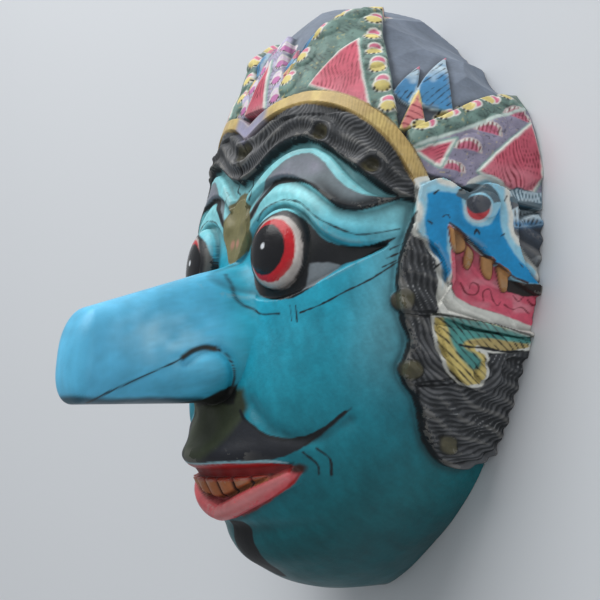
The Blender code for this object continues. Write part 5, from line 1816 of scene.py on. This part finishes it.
def painted_wood():
    """The paint attribute through brushwork and age; streaks + grain + swell give its ridges."""
    material, tree, shader = new_finish("painted_wood_finish")
    paint = add(tree, "ShaderNodeAttribute", attribute_name="paint").outputs["Color"]
    gloss = add(tree, "ShaderNodeAttribute", attribute_name="rough").outputs["Fac"]
    crests = add(tree, "ShaderNodeAttribute", attribute_name="crest").outputs["Fac"]
    brushed = placed(tree, brushwork, Color=paint, Clouds=0.75, Streaks=0.35)
    aged = placed(tree, age, Color=brushed["Color"], Crest=crests, Roughness=gloss, Rub=0.22, Soil=0.55,
                  Rubbed=PRIMER_GREY, Dirt=DIRT_BROWN)
    feed(tree, shader["Base Color"], aged["Color"])
    feed(tree, shader["Roughness"], aged["Roughness"])
    place = object_place(tree)
    grain = number(tree, "MULTIPLY", noise(tree, place, *PAINT_GRAIN), GRAIN_HEIGHT)
    swell = number(tree, "MULTIPLY", noise(tree, place, *PAINT_SWELL), SWELL_HEIGHT)
    height = number(tree, "ADD", number(tree, "ADD", brushed["Height"], grain), swell)
    feed(tree, shader["Normal"], ridges(tree, height, 0.35, PAINT_RIDGES))
    shader["Specular IOR Level"].default_value = 0.4
    return material


# %% [markdown]
# ## Bare wood
# Inside and on the rim the wood is bare and brown from handling. Long stretched noise gives the
# grain and broad noise the darker places. The brushwork is the same group as in the paint.

# %% Bare wood
GRAIN_DARK = (0.30, 0.17, 0.08, 1)
GRAIN_LIGHT = (0.50, 0.33, 0.18, 1)
HANDLED_BROWN = (0.16, 0.09, 0.045, 1)
WOOD_GRAIN = (420.0, 4.0)
GRAIN_ALONG = (1.0, 0.06, 1.0)  # the grain runs from chin to crown
WOOD_STAINS = (26.0, 4.0)
STAIN_SHARE = 0.8
GRAIN_RIDGES = 0.0004  # metres


def bare_wood():
    """Two browns mixed by the grain, darker where handled, through brushwork, with the grain as ridges."""
    material, tree, shader = new_finish("bare_wood_finish")
    place = object_place(tree)
    grain = noise(tree, place, *WOOD_GRAIN, GRAIN_ALONG)
    stains = number(tree, "MULTIPLY", noise(tree, place, *WOOD_STAINS), STAIN_SHARE, clamp=True)
    handled = blended(tree, stains, blended(tree, grain, GRAIN_DARK, GRAIN_LIGHT), HANDLED_BROWN)
    feed(tree, shader["Base Color"], placed(tree, brushwork, Color=handled, Clouds=0.5, Streaks=0.3)["Color"])
    feed(tree, shader["Normal"], ridges(tree, grain, 0.5, GRAIN_RIDGES))
    shader["Roughness"].default_value = 0.62
    return material


paint_finish = painted_wood()
wood_finish = bare_wood()
for piece in outside:
    piece.data.materials.append(paint_finish)
for piece in [hollow_piece] + rims:
    piece.data.materials.append(wood_finish)
print("finishes:", paint_finish.name, "and", wood_finish.name)

# %% [markdown]
# ## Floor and light
# The mask lies on a plain pale floor. One large soft lamp stands above the crown, as the window
# does in the photograph, and a weak one fills the shade on the camera's side.

# %% Floor
FLOOR_SIZE = 8.0
FLOOR_DROP = 0.0002  # keeps it just clear of the rim
FLOOR_GREY = tint(214, 217, 221)
FLOOR_ROUGHNESS = 0.8


def make_floor():
    """One large square just under the rim."""
    edge = FLOOR_SIZE / 2
    mesh = bpy.data.meshes.new("floor")
    corner_places = [(x * edge, y * edge, -FLOOR_DROP) for x, y in ((-1, -1), (1, -1), (1, 1), (-1, 1))]
    mesh.from_pydata(corner_places, [], [(0, 1, 2, 3)])
    floor = bpy.data.objects.new("floor", mesh)
    material, tree, shader = new_finish("pale_floor")
    shader["Base Color"].default_value = (*FLOOR_GREY, 1)
    shader["Roughness"].default_value = FLOOR_ROUGHNESS
    mesh.materials.append(material)
    bpy.context.scene.collection.objects.link(floor)


make_floor()

# %% Light
LAMPS = {"key": ((-0.12, 0.8, 0.62), 1.3, 1.2, 17.0), # direction, distance, size, watts
         "fill": ((1.0, 0.1, 0.35), 1.2, 0.9, 1.4)}
WORLD_LIGHT = 0.36
WORLD_WHITE = (0.93, 0.97, 1.0, 1)
bpy.context.scene.view_settings.view_transform = "Standard"


def add_lamps():
    """Square lamps: each stands at its direction * distance and faces the mask."""
    for name, (towards, distance, size, power) in LAMPS.items():
        data = bpy.data.lights.new(name, "AREA")
        data.size = size
        data.energy = power
        lamp = bpy.data.objects.new(name, data)
        back = np.array(towards) / np.linalg.norm(towards)
        right = np.cross((0.0, 1.0, 0.0), back)
        right /= np.linalg.norm(right)
        up = np.cross(back, right)
        lamp.matrix_world = [[*right, 0], [*up, 0], [*back, 0], [*(back * distance), 1]]
        bpy.context.scene.collection.objects.link(lamp)


add_lamps()
world = bpy.data.worlds.new("studio")
world.use_nodes = True
sky = world.node_tree.nodes["Background"].inputs
sky["Color"].default_value = WORLD_WHITE
sky["Strength"].default_value = WORLD_LIGHT
bpy.context.scene.world = world
print("lamps:", list(LAMPS))
